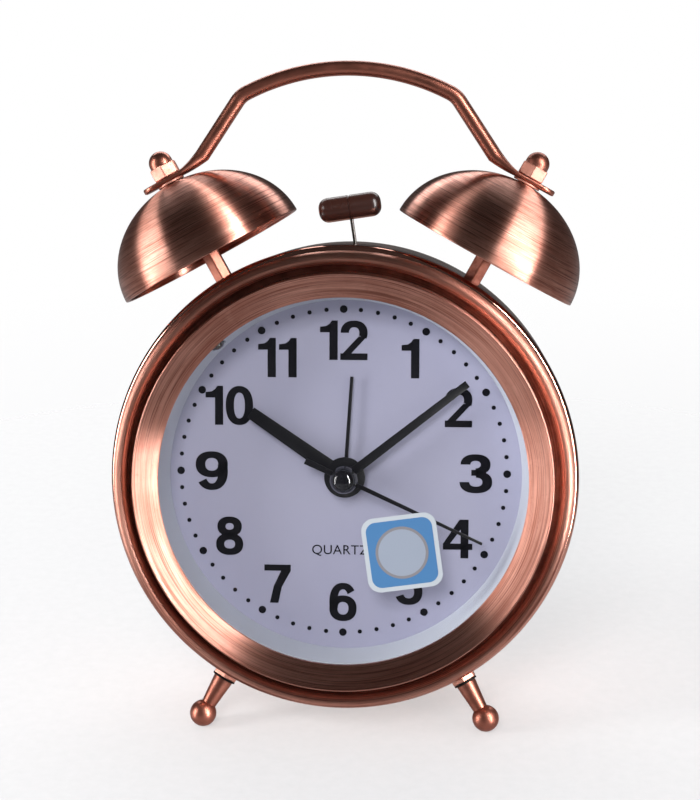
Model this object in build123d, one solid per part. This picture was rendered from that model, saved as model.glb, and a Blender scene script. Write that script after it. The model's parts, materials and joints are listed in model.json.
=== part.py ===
from build123d import *
import os
from math import atan2, cos, degrees, pi, radians, sin, sqrt

os.makedirs("parts", exist_ok=True)

# Twin-bell alarm clock, in millimetres. It is drawn upright about its dial axis first: X to the
# right, Y to the rear, Z up, with the origin on the dial axis in the plane where the front ring
# is widest. At the end it is leaned back onto its two ball feet and the rear edge of the drum.

# Drum, ring and bezel
drum_radius = 58.8
sheet = 0.8
drum_front = 3.2
drum_rear = 42.0
rear_roll = 3.0
front_roll = 1.4
drum_front_opening = 53.0
drum_rear_opening = 53.5
ring_radius = 57.5
ring_inner = 54.2
ring_floor_y = 2.0
bezel_radius = 52.3
bezel_front = -4.0
bezel_rear = 6.0
cone_foot_y = -1.6
dial_opening = 46.1
lens_radius = 51.2
lens_front = -0.7
lens_rear = 0.5

# Dial and its white wall
dial_face_y = 11.0
dial_thick = 0.8
dial_radius = 50.0
wall_front_y = 1.3
wall_foot_radius = 44.8
lamp_angle = -43.0
lamp_radius = 1.5
sticker_side = 18.8
sticker_corner = 3.2
sticker_place = (14.9, -17.3)
sticker_turn = 8.0

# Hands: length from the axis, width, front face and thickness
hand_thick = 0.4
minute_hand_angle = 51.8
minute_hand_length = 39.2
minute_hand_width = 2.4
minute_hand_y = 6.6
hour_hand_angle = 304.4
hour_hand_length = 28.9
hour_hand_width = 4.0
hour_hand_y = 8.0
hub_disc_radius = 5.2
second_hand_angle = 114.8
second_hand_length = 38.4
second_hand_width = 0.9
second_tail_length = 10.8
second_tail_width = 1.6
second_hand_y = 5.2
alarm_hand_angle = 3.8
alarm_hand_length = 25.6
alarm_hand_width = 0.9
alarm_hand_y = 9.5
cap_radius = 3.55
cap_centre_y = 4.4

# Nested hand arbors, front to back: each tube clears the one inside it by the running gap
running_gap = 0.08
second_shaft_radius = 0.6
minute_tube_radius = 1.2
hour_tube_radius = 1.85
alarm_tube_radius = 2.55

# Movement housing
housing_half = 25.0
housing_front = 11.8
housing_split = 17.4
housing_rear = 23.2
housing_wall = 1.0
housing_screw_reach = 22.9
screw_head = 0.9
shaft_boss_radius = 3.0
shaft_boss_depth = 2.4
pivot_radius = 0.4
pivot_depth = housing_rear - 0.5
pivot_end = pivot_depth - 0.2

# Layers of the gear train along Y, front and rear face of each wheel
alarm_layer = (13.6, 14.4)
hour_layer = (15.2, 16.1)
minute_layer = (16.9, 17.7)
second_layer = (18.5, 19.2)
transfer_layer = (19.8, 20.4)
stator_layer = (16.9, 17.7)
board_layer = (19.6, 20.4)
tooth_overhang = 0.1

# Gears
motion_module = 0.35
cannon_teeth = 10
minute_wheel_teeth = 30
minute_pinion_teeth = 8
hour_wheel_teeth = 32
alarm_module = 0.4
alarm_wheel_teeth = 36
second_module = 0.3
second_wheel_teeth = 32
transfer_pinion_teeth = 8
rotor_module = 0.15
transfer_wheel_teeth = 60
rotor_pinion_teeth = 8
minute_wheel_x = -motion_module * (cannon_teeth + minute_wheel_teeth) / 2
alarm_set_x = alarm_module * alarm_wheel_teeth
set_shaft_radius = 1.5
magnet_radius = 2.3
magnet_layer = (stator_layer[0] - 0.4, stator_layer[1] + 0.4)
coil_x = -17.5
coil_low = -8.5
coil_high = 3.5
coil_radius = 2.9
core_half = 0.7
stator_half = 4.2
board_half_width = 22.0
board_low = -20.5
board_high = -9.6
transfer_angle = 20.0
rotor_angle = 0.0

# Rear cover, battery bay and controls
cover_radius = 55.3
cover_thick = 2.0
cover_rear = drum_rear - sheet
cover_front = cover_rear - cover_thick
bay_half_width = 29.5
bay_bottom = -43.0
bay_top = -11.0
bay_front = 25.3
bay_wall = 1.1
cell_radius = 7.1
cell_length = 49.2
cell_y = 32.55
cell_centres = (-18.9, -35.1)
cell_cap_radius = 2.6
cell_cap_length = 1.2
cell_offset = 1.3
spring_radius = 3.2
spring_wire = 0.35
spring_pitch = 1.0
spring_length = 2.5
contact_half = 5.0
door_margin = 1.6
door_clearance = 0.15
door_thick = 1.4
knob_radius = 5.2
knob_front = cover_rear + 0.6
knob_length = 6.0
knob_flutes = 16
flute_radius = 0.65
button_x = 22.0
switch_x = -22.0
control_z = 22.0
button_radius = 4.0
button_travel = 1.6
button_proud = button_travel + 0.6
switch_travel = 4.0
switch_proud = 1.6
cover_screw_reach = 34.0
cover_screw_head = 2.3
cover_screw_sink = 1.0
pillar_inner = 0.9
pillar_outer = 2.9
pillar_gap = 0.05
corners = [(-1, -1), (-1, 1), (1, -1), (1, 1)]
screw_places = [(sx * cover_screw_reach, sz * cover_screw_reach) for sx, sz in corners]

# Bells on hexagonal posts
bell_radius = 24.9
bell_height = 21.2
bell_thick = 1.0
bell_x = 34.9
bell_y = 19.0
bell_z = 55.3
bell_tilt = 28.9
bell_side_arc = 18.5
post_across = 4.3
stud_radius = 1.45
stud_hole = 1.55
washer_thick = 0.5
washer_radius = 3.6
tab_thick = 1.4
tab_half_width = 3.4
tab_reach = 7.4
tab_inner_end = -5.2
nut_across = 6.6
nut_hex_height = 3.2
nut_dome_radius = 3.05
nut_collar = 0.7
nut_base = bell_height + washer_thick + tab_thick

# Carrying handle
handle_rod = 1.9
handle_top = 102.9
arch_radius = 57.0
leg_lean = 33.5
leg_foot = (38.2, 79.5)
bend_radius = 6.4

# Hammer
hammer_y = 14.5
hammer_pivot = (4.4, 44.0)
hammer_head_centre = (0.8, 68.0)
hammer_across = hammer_pivot[0] - hammer_head_centre[0]
hammer_rise = hammer_head_centre[1] - hammer_pivot[1]
hammer_arm = sqrt(hammer_across**2 + hammer_rise**2)
hammer_head_length = 15.8
hammer_head_radius = 3.1
hammer_wire = 0.45
hammer_pin_radius = 1.0
hub_radius = 2.6
hub_wire_foot = 1.8
hub_width = 5.0
hub_depth = 2.4
hammer_magnet_z = -7.5
ring_coil_z = 31.0
ring_coil_radius = 2.6
ring_coil_height = 6.0
ring_core_radius = 1.0
bracket_front = hammer_y + 3.4
bracket_rear = hammer_y + 4.6
bracket_low = 27.5
slot_half_width = 7.2
slot_centre_x = 1.6
slot_half_depth = 1.4

# Ball feet
foot_angle = 30.5
foot_splay = 12.0
foot_base_y = 10.0
foot_ball_radius = 3.4
foot_nut_height = 2.3
foot_nut_across = 6.0
foot_washer = 0.5
foot_washer_radius = 3.1
foot_length = 13.0
foot_top_radius = 2.75
foot_neck_radius = 1.65

nodes = {}


def add(name, *solids):
    """Keep the solids of one named piece."""
    nodes[name] = Compound(children=list(solids)) if len(solids) > 1 else solids[0]


def disc(radius, y0, y1, x=0.0, z=0.0):
    """A cylinder along Y from y0 to y1."""
    return Pos(x, (y0 + y1) / 2, z) * Rot(X=90) * Cylinder(radius, y1 - y0)


def tube(inner, outer, y0, y1, x=0.0, z=0.0):
    """A tube along Y from y0 to y1."""
    return disc(outer, y0, y1, x, z) - disc(inner, y0 - 1, y1 + 1, x, z)


def block(x0, x1, y0, y1, z0, z1):
    """A box between two corners."""
    return Pos((x0 + x1) / 2, (y0 + y1) / 2, (z0 + z1) / 2) * Box(x1 - x0, y1 - y0, z1 - z0)


def turned(*points):
    """A solid turned about the dial axis from (radius, y) points."""
    outline = Polyline(*[(r, y) for r, y in points], close=True)
    return revolve(make_face(outline), Axis.Y)


def flat(points, y0, y1):
    """A flat piece extruded along Y from (x, z) points."""
    outline = Polyline(*[(x, y0, z) for x, z in points], close=True)
    return extrude(make_face(outline), amount=y1 - y0, dir=(0, 1, 0))


def gear(teeth, module, y0, y1, x=0.0, z=0.0, tooth_at=0.0, bore=0.0):
    """A spur gear about an axis along Y, with one tooth centred at an angle in XZ (degrees from
    +X towards +Z). The teeth are slim, so that a meshed pair runs with free play."""
    pitch_radius = module * teeth / 2
    tip = pitch_radius + 0.75 * module
    root = pitch_radius - 1.15 * module
    pitch_angle = 2 * pi / teeth
    outline = []
    for index in range(teeth):
        centre = radians(tooth_at) + index * pitch_angle
        for radius, share in ((root, -0.27), (tip, -0.1), (tip, 0.1), (root, 0.27)):
            angle = centre + share * pitch_angle
            outline.append((x + radius * cos(angle), z + radius * sin(angle)))
    wheel = flat(outline, y0, y1)
    return wheel - disc(bore, y0 - 1, y1 + 1, x, z) if bore else wheel


def around(radius, angle):
    """The (x, z) point at a clock angle, in degrees clockwise from the top."""
    return radius * sin(radians(angle)), radius * cos(radians(angle))


# Case shell

def case_barrel():
    """The rolled sheet drum, with holes for the posts, the feet and the hammer."""
    outer = disc(drum_radius, drum_front, drum_rear)
    outer = fillet(outer.edges().filter_by(GeomType.CIRCLE).sort_by(Axis.Y)[-1], rear_roll)
    outer = fillet(outer.edges().filter_by(GeomType.CIRCLE).sort_by(Axis.Y)[0], front_roll)
    inner = disc(drum_radius - sheet, drum_front + sheet, drum_rear - sheet)
    inner = fillet(inner.edges().filter_by(GeomType.CIRCLE).sort_by(Axis.Y)[-1], rear_roll - sheet)
    inner = fillet(inner.edges().filter_by(GeomType.CIRCLE).sort_by(Axis.Y)[0], front_roll - sheet)
    drum = outer - inner
    drum -= disc(drum_front_opening, drum_front - 1, drum_front + 2)
    drum -= disc(drum_rear_opening, drum_rear - 2, drum_rear + 1)
    drum -= block(slot_centre_x - slot_half_width, slot_centre_x + slot_half_width,
                  hammer_y - slot_half_depth, hammer_y + slot_half_depth, 50, 64)
    for side in (-1, 1):
        drum -= bell_axis(side) * Pos(0, 0, -8) * Cylinder(stud_hole, 12)
        drum -= foot_axis(side) * Cylinder(stud_hole, 12)
    return drum


def front_ring():
    """The convex ring seated on the front of the drum."""
    crown = (ring_radius + ring_inner) / 2
    edges = Line((ring_radius, drum_front), (ring_radius, 0.4))
    edges += ThreePointArc((ring_radius, 0.4), (crown, -1.5), (ring_inner, 0.4))
    seat = bezel_radius + 0.05
    edges += Polyline((ring_inner, 0.4), (ring_inner, ring_floor_y), (seat, ring_floor_y),
                      (seat, drum_front), (ring_radius, drum_front))
    return revolve(make_face(edges), Axis.Y)


def bezel():
    """The dished bezel: an outer lip, a brushed cone down to the dial opening, and a skirt."""
    lip = bezel_radius - 0.5
    skirt = bezel_radius - sheet
    edges = Polyline((bezel_radius, bezel_rear), (bezel_radius, bezel_front + 0.5))
    bead_end = (lip - 0.5, bezel_front + 0.3)
    edges += ThreePointArc((bezel_radius, bezel_front + 0.5), (lip, bezel_front), bead_end)
    edges += Polyline(bead_end, (dial_opening, cone_foot_y), (dial_opening, lens_front),
                      (skirt - 0.2, lens_front), (skirt, lens_front + 0.2),
                      (skirt, bezel_rear), (bezel_radius, bezel_rear))
    return revolve(make_face(edges), Axis.Y)


def dial_wall():
    """The white wall between the lens and the dial, with a notch for the lamp."""
    wall = turned((dial_opening + 0.3, wall_front_y), (lens_radius, wall_front_y),
                  (lens_radius, wall_front_y + 1), (dial_opening + 1.5, wall_front_y + 1),
                  (wall_foot_radius + 1.2, dial_face_y),
                  (wall_foot_radius, dial_face_y))
    lamp_x, lamp_z = around(dial_opening + 0.5, lamp_angle)
    return wall - disc(1.9, wall_front_y - 1, dial_face_y - 4.0, lamp_x, lamp_z)


def rear_cover():
    """The moulded rear cover with the battery bay sunk into it."""
    cover = disc(cover_radius, cover_front, cover_rear)
    outer_bay = block(-bay_half_width - bay_wall, bay_half_width + bay_wall, bay_front - bay_wall,
                      cover_rear, bay_bottom - bay_wall, bay_top + bay_wall)
    inner_bay = block(-bay_half_width, bay_half_width, bay_front, cover_rear + 1, bay_bottom, bay_top)
    ledge = block(-bay_half_width - door_margin, bay_half_width + door_margin,
                  cover_rear - door_thick, cover_rear + 1,
                  bay_bottom - door_margin, bay_top + door_margin)
    cover = cover + outer_bay - inner_bay - ledge
    cover -= disc(set_shaft_radius + 0.3, cover_front - 1, cover_rear + 1, minute_wheel_x)
    cover -= disc(set_shaft_radius + 0.3, cover_front - 1, cover_rear + 1, alarm_set_x)
    cover -= disc(button_radius + 0.2, cover_front - 1, cover_rear + 1, button_x, control_z)
    cover -= block(switch_x - 4.3, switch_x + 4.3, cover_front - 1, cover_rear + 1,
                   control_z - 1.6, control_z + 1.6)
    for x, z in screw_places:
        cover -= disc(1.3, cover_front - 1, cover_rear + 1, x, z)
        cover -= disc(cover_screw_head + 0.2, cover_rear - cover_screw_sink, cover_rear + 1, x, z)
    return cover


# Axes shared by the pieces that are stacked on them

def bell_axis(side):
    """A bell's own frame: its origin at the rim centre and +Z towards the apex."""
    return Location((side * bell_x, bell_y, bell_z), (0, side * bell_tilt, 0))


def foot_axis(side):
    """A foot's own frame: its origin on the drum's skin and +Z down the leg."""
    radial = Location((0, 0, 0), (0, side * (180 - foot_angle), 0))
    return Pos(0, foot_base_y, 0) * radial * Pos(0, 0, drum_radius) * Rot(X=foot_splay)


def hexagon_prism(across, z0, z1):
    """A hexagonal prism along Z with the given distance across its flats."""
    outline = RegularPolygon(across / 2, 6, major_radius=False)
    return Pos(0, 0, z0) * extrude(outline, amount=z1 - z0)


def rod(radius, z0, z1):
    """A cylinder along Z from z0 to z1."""
    return Pos(0, 0, (z0 + z1) / 2) * Cylinder(radius, z1 - z0)


def dome_section(side_arc, crown_arc, crown_centre):
    """The region under a dome's outline: a crown arc that runs on into a smaller side arc."""
    side_centre = bell_radius - bell_side_arc
    slope = Vector(side_centre, -crown_centre).normalized()
    join = Vector(side_centre, 0) + slope * side_arc
    middle = Vector(side_centre, 0) + Vector(slope.X + 1, slope.Y).normalized() * side_arc
    crown_middle = Vector(0, crown_centre) + Vector(slope.X, slope.Y + 1).normalized() * crown_arc
    outline = ThreePointArc((side_centre + side_arc, 0), middle, join)
    outline += ThreePointArc(join, crown_middle, (0, crown_centre + crown_arc))
    outline += Polyline((0, crown_centre + crown_arc), (0, 0), (side_centre + side_arc, 0))
    return make_face(outline)


def bell(side):
    """A spun bell: a dome of even thickness with a hole at its apex."""
    # The crown arc is the one that touches both the apex and the side arc.
    side_centre = bell_radius - bell_side_arc
    rise = bell_height - bell_side_arc
    crown_arc = bell_side_arc + (side_centre**2 + rise**2) / (2 * rise)
    crown_centre = bell_height - crown_arc
    section = dome_section(bell_side_arc, crown_arc, crown_centre)
    section -= dome_section(bell_side_arc - bell_thick, crown_arc - bell_thick, crown_centre)
    dome = revolve(Plane.XZ * section, Axis.Z)
    return bell_axis(side) * (dome - rod(stud_hole, 0, bell_height + 1))


def bell_post(side):
    """A hexagonal post from the drum to the bell, with a stud at each end."""
    shoulder = bell_height - bell_thick - 0.15
    post = hexagon_prism(post_across, -9, shoulder)
    post += rod(stud_radius, shoulder - 1, nut_base + nut_hex_height)
    post = bell_axis(side) * post - disc(drum_radius, 0, 60)
    return post + bell_axis(side) * rod(stud_radius, -10.5, -5)


def acorn_nut(side):
    """A hexagonal nut under a domed cap."""
    top = nut_base + nut_hex_height
    nut = hexagon_prism(nut_across, nut_base, top)
    nut += rod(nut_dome_radius, top, top + nut_collar)
    nut += Pos(0, 0, top + nut_collar) * Sphere(nut_dome_radius, 0, 90)
    return bell_axis(side) * (nut - rod(stud_hole, nut_base - 1, top + 0.5))


def mirror_x(point):
    """The point on the other side of the clock's middle."""
    return Vector(-point.X, point.Y, point.Z)


def handle():
    """A bent rod whose two ends are flattened into drilled tabs."""
    lean = radians(leg_lean)
    up = Vector(-sin(lean), 0, cos(lean))
    inward = Vector(-cos(lean), 0, -sin(lean))
    foot = Vector(leg_foot[0], 0, leg_foot[1])
    arch_centre = Vector(0, 0, handle_top - arch_radius)
    # The bend is tangent to the leg and runs inside the arch: solve for its place along the leg.
    start = foot + inward * bend_radius - arch_centre
    along = start.dot(up)
    reach = sqrt(along**2 - start.dot(start) + (arch_radius - bend_radius) ** 2) - along
    bend_centre = foot + up * reach + inward * bend_radius
    on_leg = foot + up * reach
    outward = (bend_centre - arch_centre).normalized()
    on_arch = arch_centre + outward * arch_radius
    middle = ((on_leg - bend_centre) + (on_arch - bend_centre)).normalized()
    mid_bend = bend_centre + middle * bend_radius
    path = Line(foot, on_leg)
    path += ThreePointArc(on_leg, mid_bend, on_arch)
    path += ThreePointArc(on_arch, Vector(0, 0, handle_top), mirror_x(on_arch))
    path += ThreePointArc(mirror_x(on_arch), mirror_x(mid_bend), mirror_x(on_leg))
    path += Line(mirror_x(on_leg), mirror_x(foot))
    section = Plane(origin=foot, z_dir=up) * Circle(handle_rod)
    bail = Pos(0, bell_y, 0) * sweep(section, path=path)
    for side in (-1, 1):
        bail += handle_tab(side)
        bail -= bell_axis(side) * rod(stud_hole, bell_height, bell_height + 4)
    return bail


def handle_tab(side):
    """The flattened end of the handle: it widens out of the rod, then lies flat on the bell."""
    low = bell_height + washer_thick
    frame = bell_axis(side)
    plate = extrude(SlotOverall(2 * tab_reach, 2 * tab_half_width), amount=tab_thick)
    plate &= Pos(tab_reach, 0, 0) * Box(2 * (tab_reach - tab_inner_end), 20, 20)
    tab = frame * Pos(0, 0, low) * mirrored(side, plate)
    lean = radians(leg_lean)
    foot = Vector(side * leg_foot[0], bell_y, leg_foot[1])
    up = Vector(-side * sin(lean), 0, cos(lean))
    round_plane = Plane(origin=foot + up * 1.0, x_dir=(0, 1, 0), z_dir=up)
    round_end = round_plane * Ellipse(handle_rod, handle_rod)
    tab_frame = frame * Pos(side * tab_inner_end, 0, low + tab_thick / 2)
    tab_plane = Plane(origin=tab_frame.position, x_dir=(0, 1, 0), z_dir=Plane(frame).x_dir * -side)
    flat_end = tab_plane * Ellipse(tab_half_width * 0.9, tab_thick / 2)
    return tab + loft([flat_end.face(), round_end.face()])


def mirrored(side, shape):
    """The shape itself on the right side, or its mirror image on the left."""
    return shape if side > 0 else mirror(shape, Plane.YZ)


def foot(side):
    """A tapered leg with a ball at its end and a stud into the drum."""
    top = foot_nut_height + foot_washer
    leg = rod(stud_radius, -3.0, top + 1)
    leg += Pos(0, 0, (top + foot_length) / 2) * Cone(foot_top_radius, foot_neck_radius, foot_length - top)
    leg += Pos(0, 0, foot_length) * Sphere(foot_ball_radius)
    return foot_axis(side) * leg


def foot_nut(side):
    """The hexagonal nut that locks a foot against the drum."""
    nut = foot_axis(side) * hexagon_prism(foot_nut_across, -2, foot_nut_height)
    return nut - disc(drum_radius, 0, 40) - foot_axis(side) * rod(stud_hole, -5, 5)


# Hammer, swinging between the bells

def hammer_axis():
    """The hammer's own frame: its origin on the pivot and +Z up the wire."""
    tilt = degrees(atan2(hammer_across, hammer_rise))
    return Location((hammer_pivot[0], hammer_y, hammer_pivot[1]), (0, -tilt, 0))


def hammer_head():
    """A short bar with domed ends, drilled for the wire."""
    bar = Rot(Y=90) * Cylinder(hammer_head_radius, hammer_head_length)
    bar = fillet(bar.edges().filter_by(GeomType.CIRCLE), 2.4)
    groove = Rot(Y=90) * (Cylinder(hammer_head_radius + 1, 0.3) - Cylinder(hammer_head_radius - 0.2, 1))
    bar = bar - groove - rod(hammer_wire, -hammer_head_radius - 1, 0.5)
    return hammer_axis() * Pos(0, 0, hammer_arm) * bar


def hammer_hub():
    """The plastic hub on the pivot, with a tail that carries the magnet."""
    hub = Rot(X=90) * Cylinder(hub_radius, 3.0)
    hub += Pos(0, 0, 2.5) * Box(hub_depth, hub_depth, 4.0)
    hub += Pos(0, 0, -4.0) * Box(hub_width, hub_depth, 5.0)
    hub -= Rot(X=90) * Cylinder(hammer_pin_radius + running_gap, 5)
    hub -= rod(hammer_wire, hub_wire_foot, 6)
    return hammer_axis() * hub


add("case_barrel", case_barrel())
add("front_ring", front_ring())
add("bezel", bezel())
add("lens", disc(lens_radius, lens_front, lens_rear))
add("lens_gasket", tube(48.5, lens_radius, lens_rear, wall_front_y))
add("dial_wall", dial_wall())
add("dial", tube(alarm_tube_radius + 0.35, dial_radius, dial_face_y, dial_face_y + dial_thick))
sticker = extrude(RectangleRounded(sticker_side, sticker_side, sticker_corner), amount=0.2)
sticker = Rot(Y=-sticker_turn) * Rot(X=90) * sticker
add("lens_sticker", Pos(sticker_place[0], lens_front, sticker_place[1]) * sticker)
lamp_x, lamp_z = around(dial_opening + 0.5, lamp_angle)
lamp = disc(lamp_radius, 3.6, 6.6, lamp_x, lamp_z)
add("dial_lamp", lamp + Pos(lamp_x, 3.6, lamp_z) * Sphere(lamp_radius))
add("rear_cover", rear_cover())

# Long pillars from the dial to the rear cover, each with its screw
pillars = []
cover_screws = []
for x, z in screw_places:
    pillar_rear = cover_front - pillar_gap
    pillars.append(tube(pillar_inner, pillar_outer, dial_face_y + dial_thick, pillar_rear, x, z))
    head = disc(cover_screw_head, cover_rear - cover_screw_sink, cover_rear + 0.4, x, z)
    head -= block(x - 2, x + 2, cover_rear, cover_rear + 1, z - 0.3, z + 0.3)
    cover_screws.append(head + disc(pillar_inner - 0.05, cover_front - 8, cover_rear - 0.5, x, z))
add("case_pillars", *pillars)
add("rear_cover_screws", *cover_screws)

# Battery bay: two cells side by side, with a spring and a contact plate at their ends

def cell(z, direction):
    """A dry cell lying along X with its cap towards the given side."""
    body_length = cell_length - cell_cap_length
    body = Rot(Y=90) * Cylinder(cell_radius, body_length)
    cap = Rot(Y=90) * Cylinder(cell_cap_radius, 2 * cell_cap_length)
    cap = Pos(direction * body_length / 2, 0, 0) * cap
    return Pos(-direction * cell_offset, cell_y, z) * (body + cap)


def cell_spring(z, direction):
    """A coil spring pressed against the flat end of a cell."""
    helix = Helix(spring_pitch, spring_length, spring_radius)
    section = Plane(origin=helix @ 0, z_dir=helix % 0) * Circle(spring_wire)
    coil = Rot(Y=-90 * direction) * sweep(section, path=helix)
    flat_end = -direction * (cell_offset + (cell_length - cell_cap_length) / 2)
    return Pos(flat_end - direction * (spring_wire + 0.05), cell_y, z) * coil


def contact_plate(z, side):
    """A small plate at the end of the bay."""
    outer = side * (bay_half_width - 0.02)
    inner = side * (bay_half_width - 0.5)
    low_x = min(outer, inner)
    high_x = max(outer, inner)
    low_y = cell_y - contact_half
    return block(low_x, high_x, low_y, cell_y + contact_half, z - contact_half, z + contact_half)


upper_cell, lower_cell = cell_centres
add("battery_cell_upper", cell(upper_cell, 1))
add("battery_cell_lower", cell(lower_cell, -1))
add("battery_springs", cell_spring(upper_cell, 1), cell_spring(lower_cell, -1))
add("battery_contacts", *[contact_plate(z, side) for z in cell_centres for side in (-1, 1)])

door_x = bay_half_width + door_margin - door_clearance
door_low = bay_bottom - door_margin + door_clearance
door_high = bay_top + door_margin - door_clearance
door = block(-door_x, door_x, cover_rear - door_thick, cover_rear, door_low, door_high)
grip_z = (door_low + door_high) / 2
for step in range(-2, 3):
    door += block(-6, 6, cover_rear, cover_rear + 0.6, grip_z + 2 * step - 0.4, grip_z + 2 * step + 0.4)
add("battery_door", door)

# Movement: a two-part housing with the stepping motor and the gear train inside

def shell_half(y0, y1, plate_low, plate_high):
    """A square tray with one closed side."""
    outer = block(-housing_half, housing_half, y0, y1, -housing_half, housing_half)
    inner_half = housing_half - housing_wall
    inner = block(-inner_half, inner_half, y0 - 1, y1 + 1, -inner_half, inner_half)
    return (outer - inner) + block(-inner_half, inner_half, plate_low, plate_high, -inner_half, inner_half)


movement_front = shell_half(housing_front, housing_split, housing_front, housing_front + housing_wall)
movement_front -= disc(alarm_tube_radius + running_gap, housing_front - 1, housing_front + 2)
movement_rear = shell_half(housing_split, housing_rear, housing_rear - housing_wall, housing_rear)
for shaft_x in (minute_wheel_x, alarm_set_x):
    movement_rear += disc(shaft_boss_radius, housing_rear - shaft_boss_depth, housing_rear, shaft_x)
    movement_rear -= disc(set_shaft_radius + running_gap, housing_rear - 3, housing_rear + 1, shaft_x)
movement_screws = []
for sx, sz in corners:
    x = sx * housing_screw_reach
    z = sz * housing_screw_reach
    movement_front += tube(0.8, 1.5, housing_front + housing_wall, housing_split, x, z)
    movement_rear += tube(1.05, 1.5, housing_split, housing_rear - housing_wall, x, z)
    movement_rear -= disc(1.05, housing_split - 1, housing_rear + 1, x, z)
    screw = disc(0.75, housing_front + 3, housing_rear, x, z)
    movement_screws.append(screw + disc(1.9, housing_rear, housing_rear + screw_head, x, z))

# Places of the train: the transfer wheel sits beside the second wheel, and the rotor above it
transfer_reach = second_module * (second_wheel_teeth + transfer_pinion_teeth) / 2
transfer_x, transfer_z = around(transfer_reach, transfer_angle)
rotor_reach = rotor_module * (transfer_wheel_teeth + rotor_pinion_teeth) / 2
rotor_x = transfer_x + rotor_reach * sin(radians(rotor_angle))
rotor_z = transfer_z + rotor_reach * cos(radians(rotor_angle))
pivots = (
    (transfer_x, transfer_z, pivot_radius),
    (rotor_x, rotor_z, pivot_radius),
    (0, 0, second_shaft_radius),
)
for x, z, radius in pivots:
    movement_rear += disc(radius + 0.8, housing_rear - 1.7, housing_rear - housing_wall, x, z)
    movement_rear -= disc(radius + running_gap, housing_rear - 2.0, pivot_depth, x, z)
add("movement_front", movement_front)
add("movement_rear", movement_rear)
add("movement_screws", *movement_screws)

transfer_direction = degrees(atan2(transfer_z, transfer_x))
second_pin = disc(second_shaft_radius, cap_centre_y - 1.0, pivot_end)
second_gear = gear(second_wheel_teeth, second_module, *second_layer, tooth_at=transfer_direction)
add("second_wheel", second_pin + second_gear)


def needle(length, width, y, tail=0.0, tail_width=0.0):
    """A straight hand blade pointing up, with an optional tail."""
    half = width / 2
    blade = block(-half, half, y, y + hand_thick, 0, length)
    if tail:
        blade += block(-tail_width / 2, tail_width / 2, y, y + hand_thick, -tail, 0)
    return blade


second_blade = needle(second_hand_length, second_hand_width, second_hand_y,
                      second_tail_length, second_tail_width)
second_blade += disc(2.6, second_hand_y, second_hand_y + hand_thick)
second_blade -= disc(second_shaft_radius, second_hand_y - 1, second_hand_y + 1)
add("second_hand", Rot(Y=second_hand_angle) * second_blade)
cap = Pos(0, cap_centre_y, 0) * Sphere(cap_radius)
cap &= block(-5, 5, -5, second_hand_y, -5, 5)
add("hand_cap", cap - disc(second_shaft_radius, cap_centre_y - 1.0, 8))

transfer = gear(transfer_pinion_teeth, second_module, second_layer[0] - tooth_overhang, transfer_layer[0],
                transfer_x, transfer_z, tooth_at=180 + transfer_direction + 180 / transfer_pinion_teeth)
transfer += gear(transfer_wheel_teeth, rotor_module, *transfer_layer, transfer_x, transfer_z,
                 tooth_at=90 - rotor_angle)
transfer += disc(pivot_radius, second_layer[0] - 0.6, pivot_end, transfer_x, transfer_z)
add("transfer_wheel", transfer)

rotor = gear(rotor_pinion_teeth, rotor_module, transfer_layer[0] - tooth_overhang,
             transfer_layer[1] + tooth_overhang, rotor_x, rotor_z,
             tooth_at=270 - rotor_angle + 180 / rotor_pinion_teeth)
rotor += disc(magnet_radius, *magnet_layer, rotor_x, rotor_z)
rotor += disc(pivot_radius, magnet_layer[0] - 0.8, pivot_end, rotor_x, rotor_z)
add("rotor", rotor)

# Stepping motor: a plate round the rotor, joined to the core of the coil beside it
stator_low = rotor_z - stator_half
stator = block(coil_x - core_half, rotor_x + stator_half, *stator_layer, stator_low, rotor_z + stator_half)
add("stator", stator - disc(magnet_radius + 0.4, 10, 25, rotor_x, rotor_z))
core = block(coil_x - core_half, coil_x + core_half, *stator_layer, coil_low - 1.5, stator_low)
add("coil_core", core)
winding = Cylinder(coil_radius, coil_high - coil_low)
winding = Pos(coil_x, sum(stator_layer) / 2, (coil_low + coil_high) / 2) * winding
add("drive_coil", winding - core)
add("circuit_board", block(-board_half_width, board_half_width, *board_layer, board_low, board_high))

# Motion work: the minute arbor drives the hour tube through the minute wheel
pointing_left = 180.0
cannon_rear = minute_layer[1] + tooth_overhang
minute_arbor = tube(second_shaft_radius + running_gap, minute_tube_radius, minute_hand_y, cannon_rear)
minute_arbor += gear(cannon_teeth, motion_module, minute_layer[0] - tooth_overhang, cannon_rear,
                     tooth_at=pointing_left, bore=second_shaft_radius + running_gap)
add("minute_arbor", minute_arbor)
minute_hand = needle(minute_hand_length, minute_hand_width, minute_hand_y)
minute_hand += disc(3.0, minute_hand_y, minute_hand_y + hand_thick)
minute_hand -= disc(minute_tube_radius, minute_hand_y - 1, minute_hand_y + 1)
add("minute_hand", Rot(Y=minute_hand_angle) * minute_hand)

minute_wheel = gear(minute_wheel_teeth, motion_module, *minute_layer, minute_wheel_x, 0,
                    tooth_at=180 / minute_wheel_teeth)
minute_wheel += gear(minute_pinion_teeth, motion_module, hour_layer[0] - tooth_overhang, minute_layer[0],
                     minute_wheel_x, 0)
minute_wheel += disc(set_shaft_radius, minute_layer[1], knob_front + 2, minute_wheel_x)
add("minute_wheel", minute_wheel)

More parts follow.
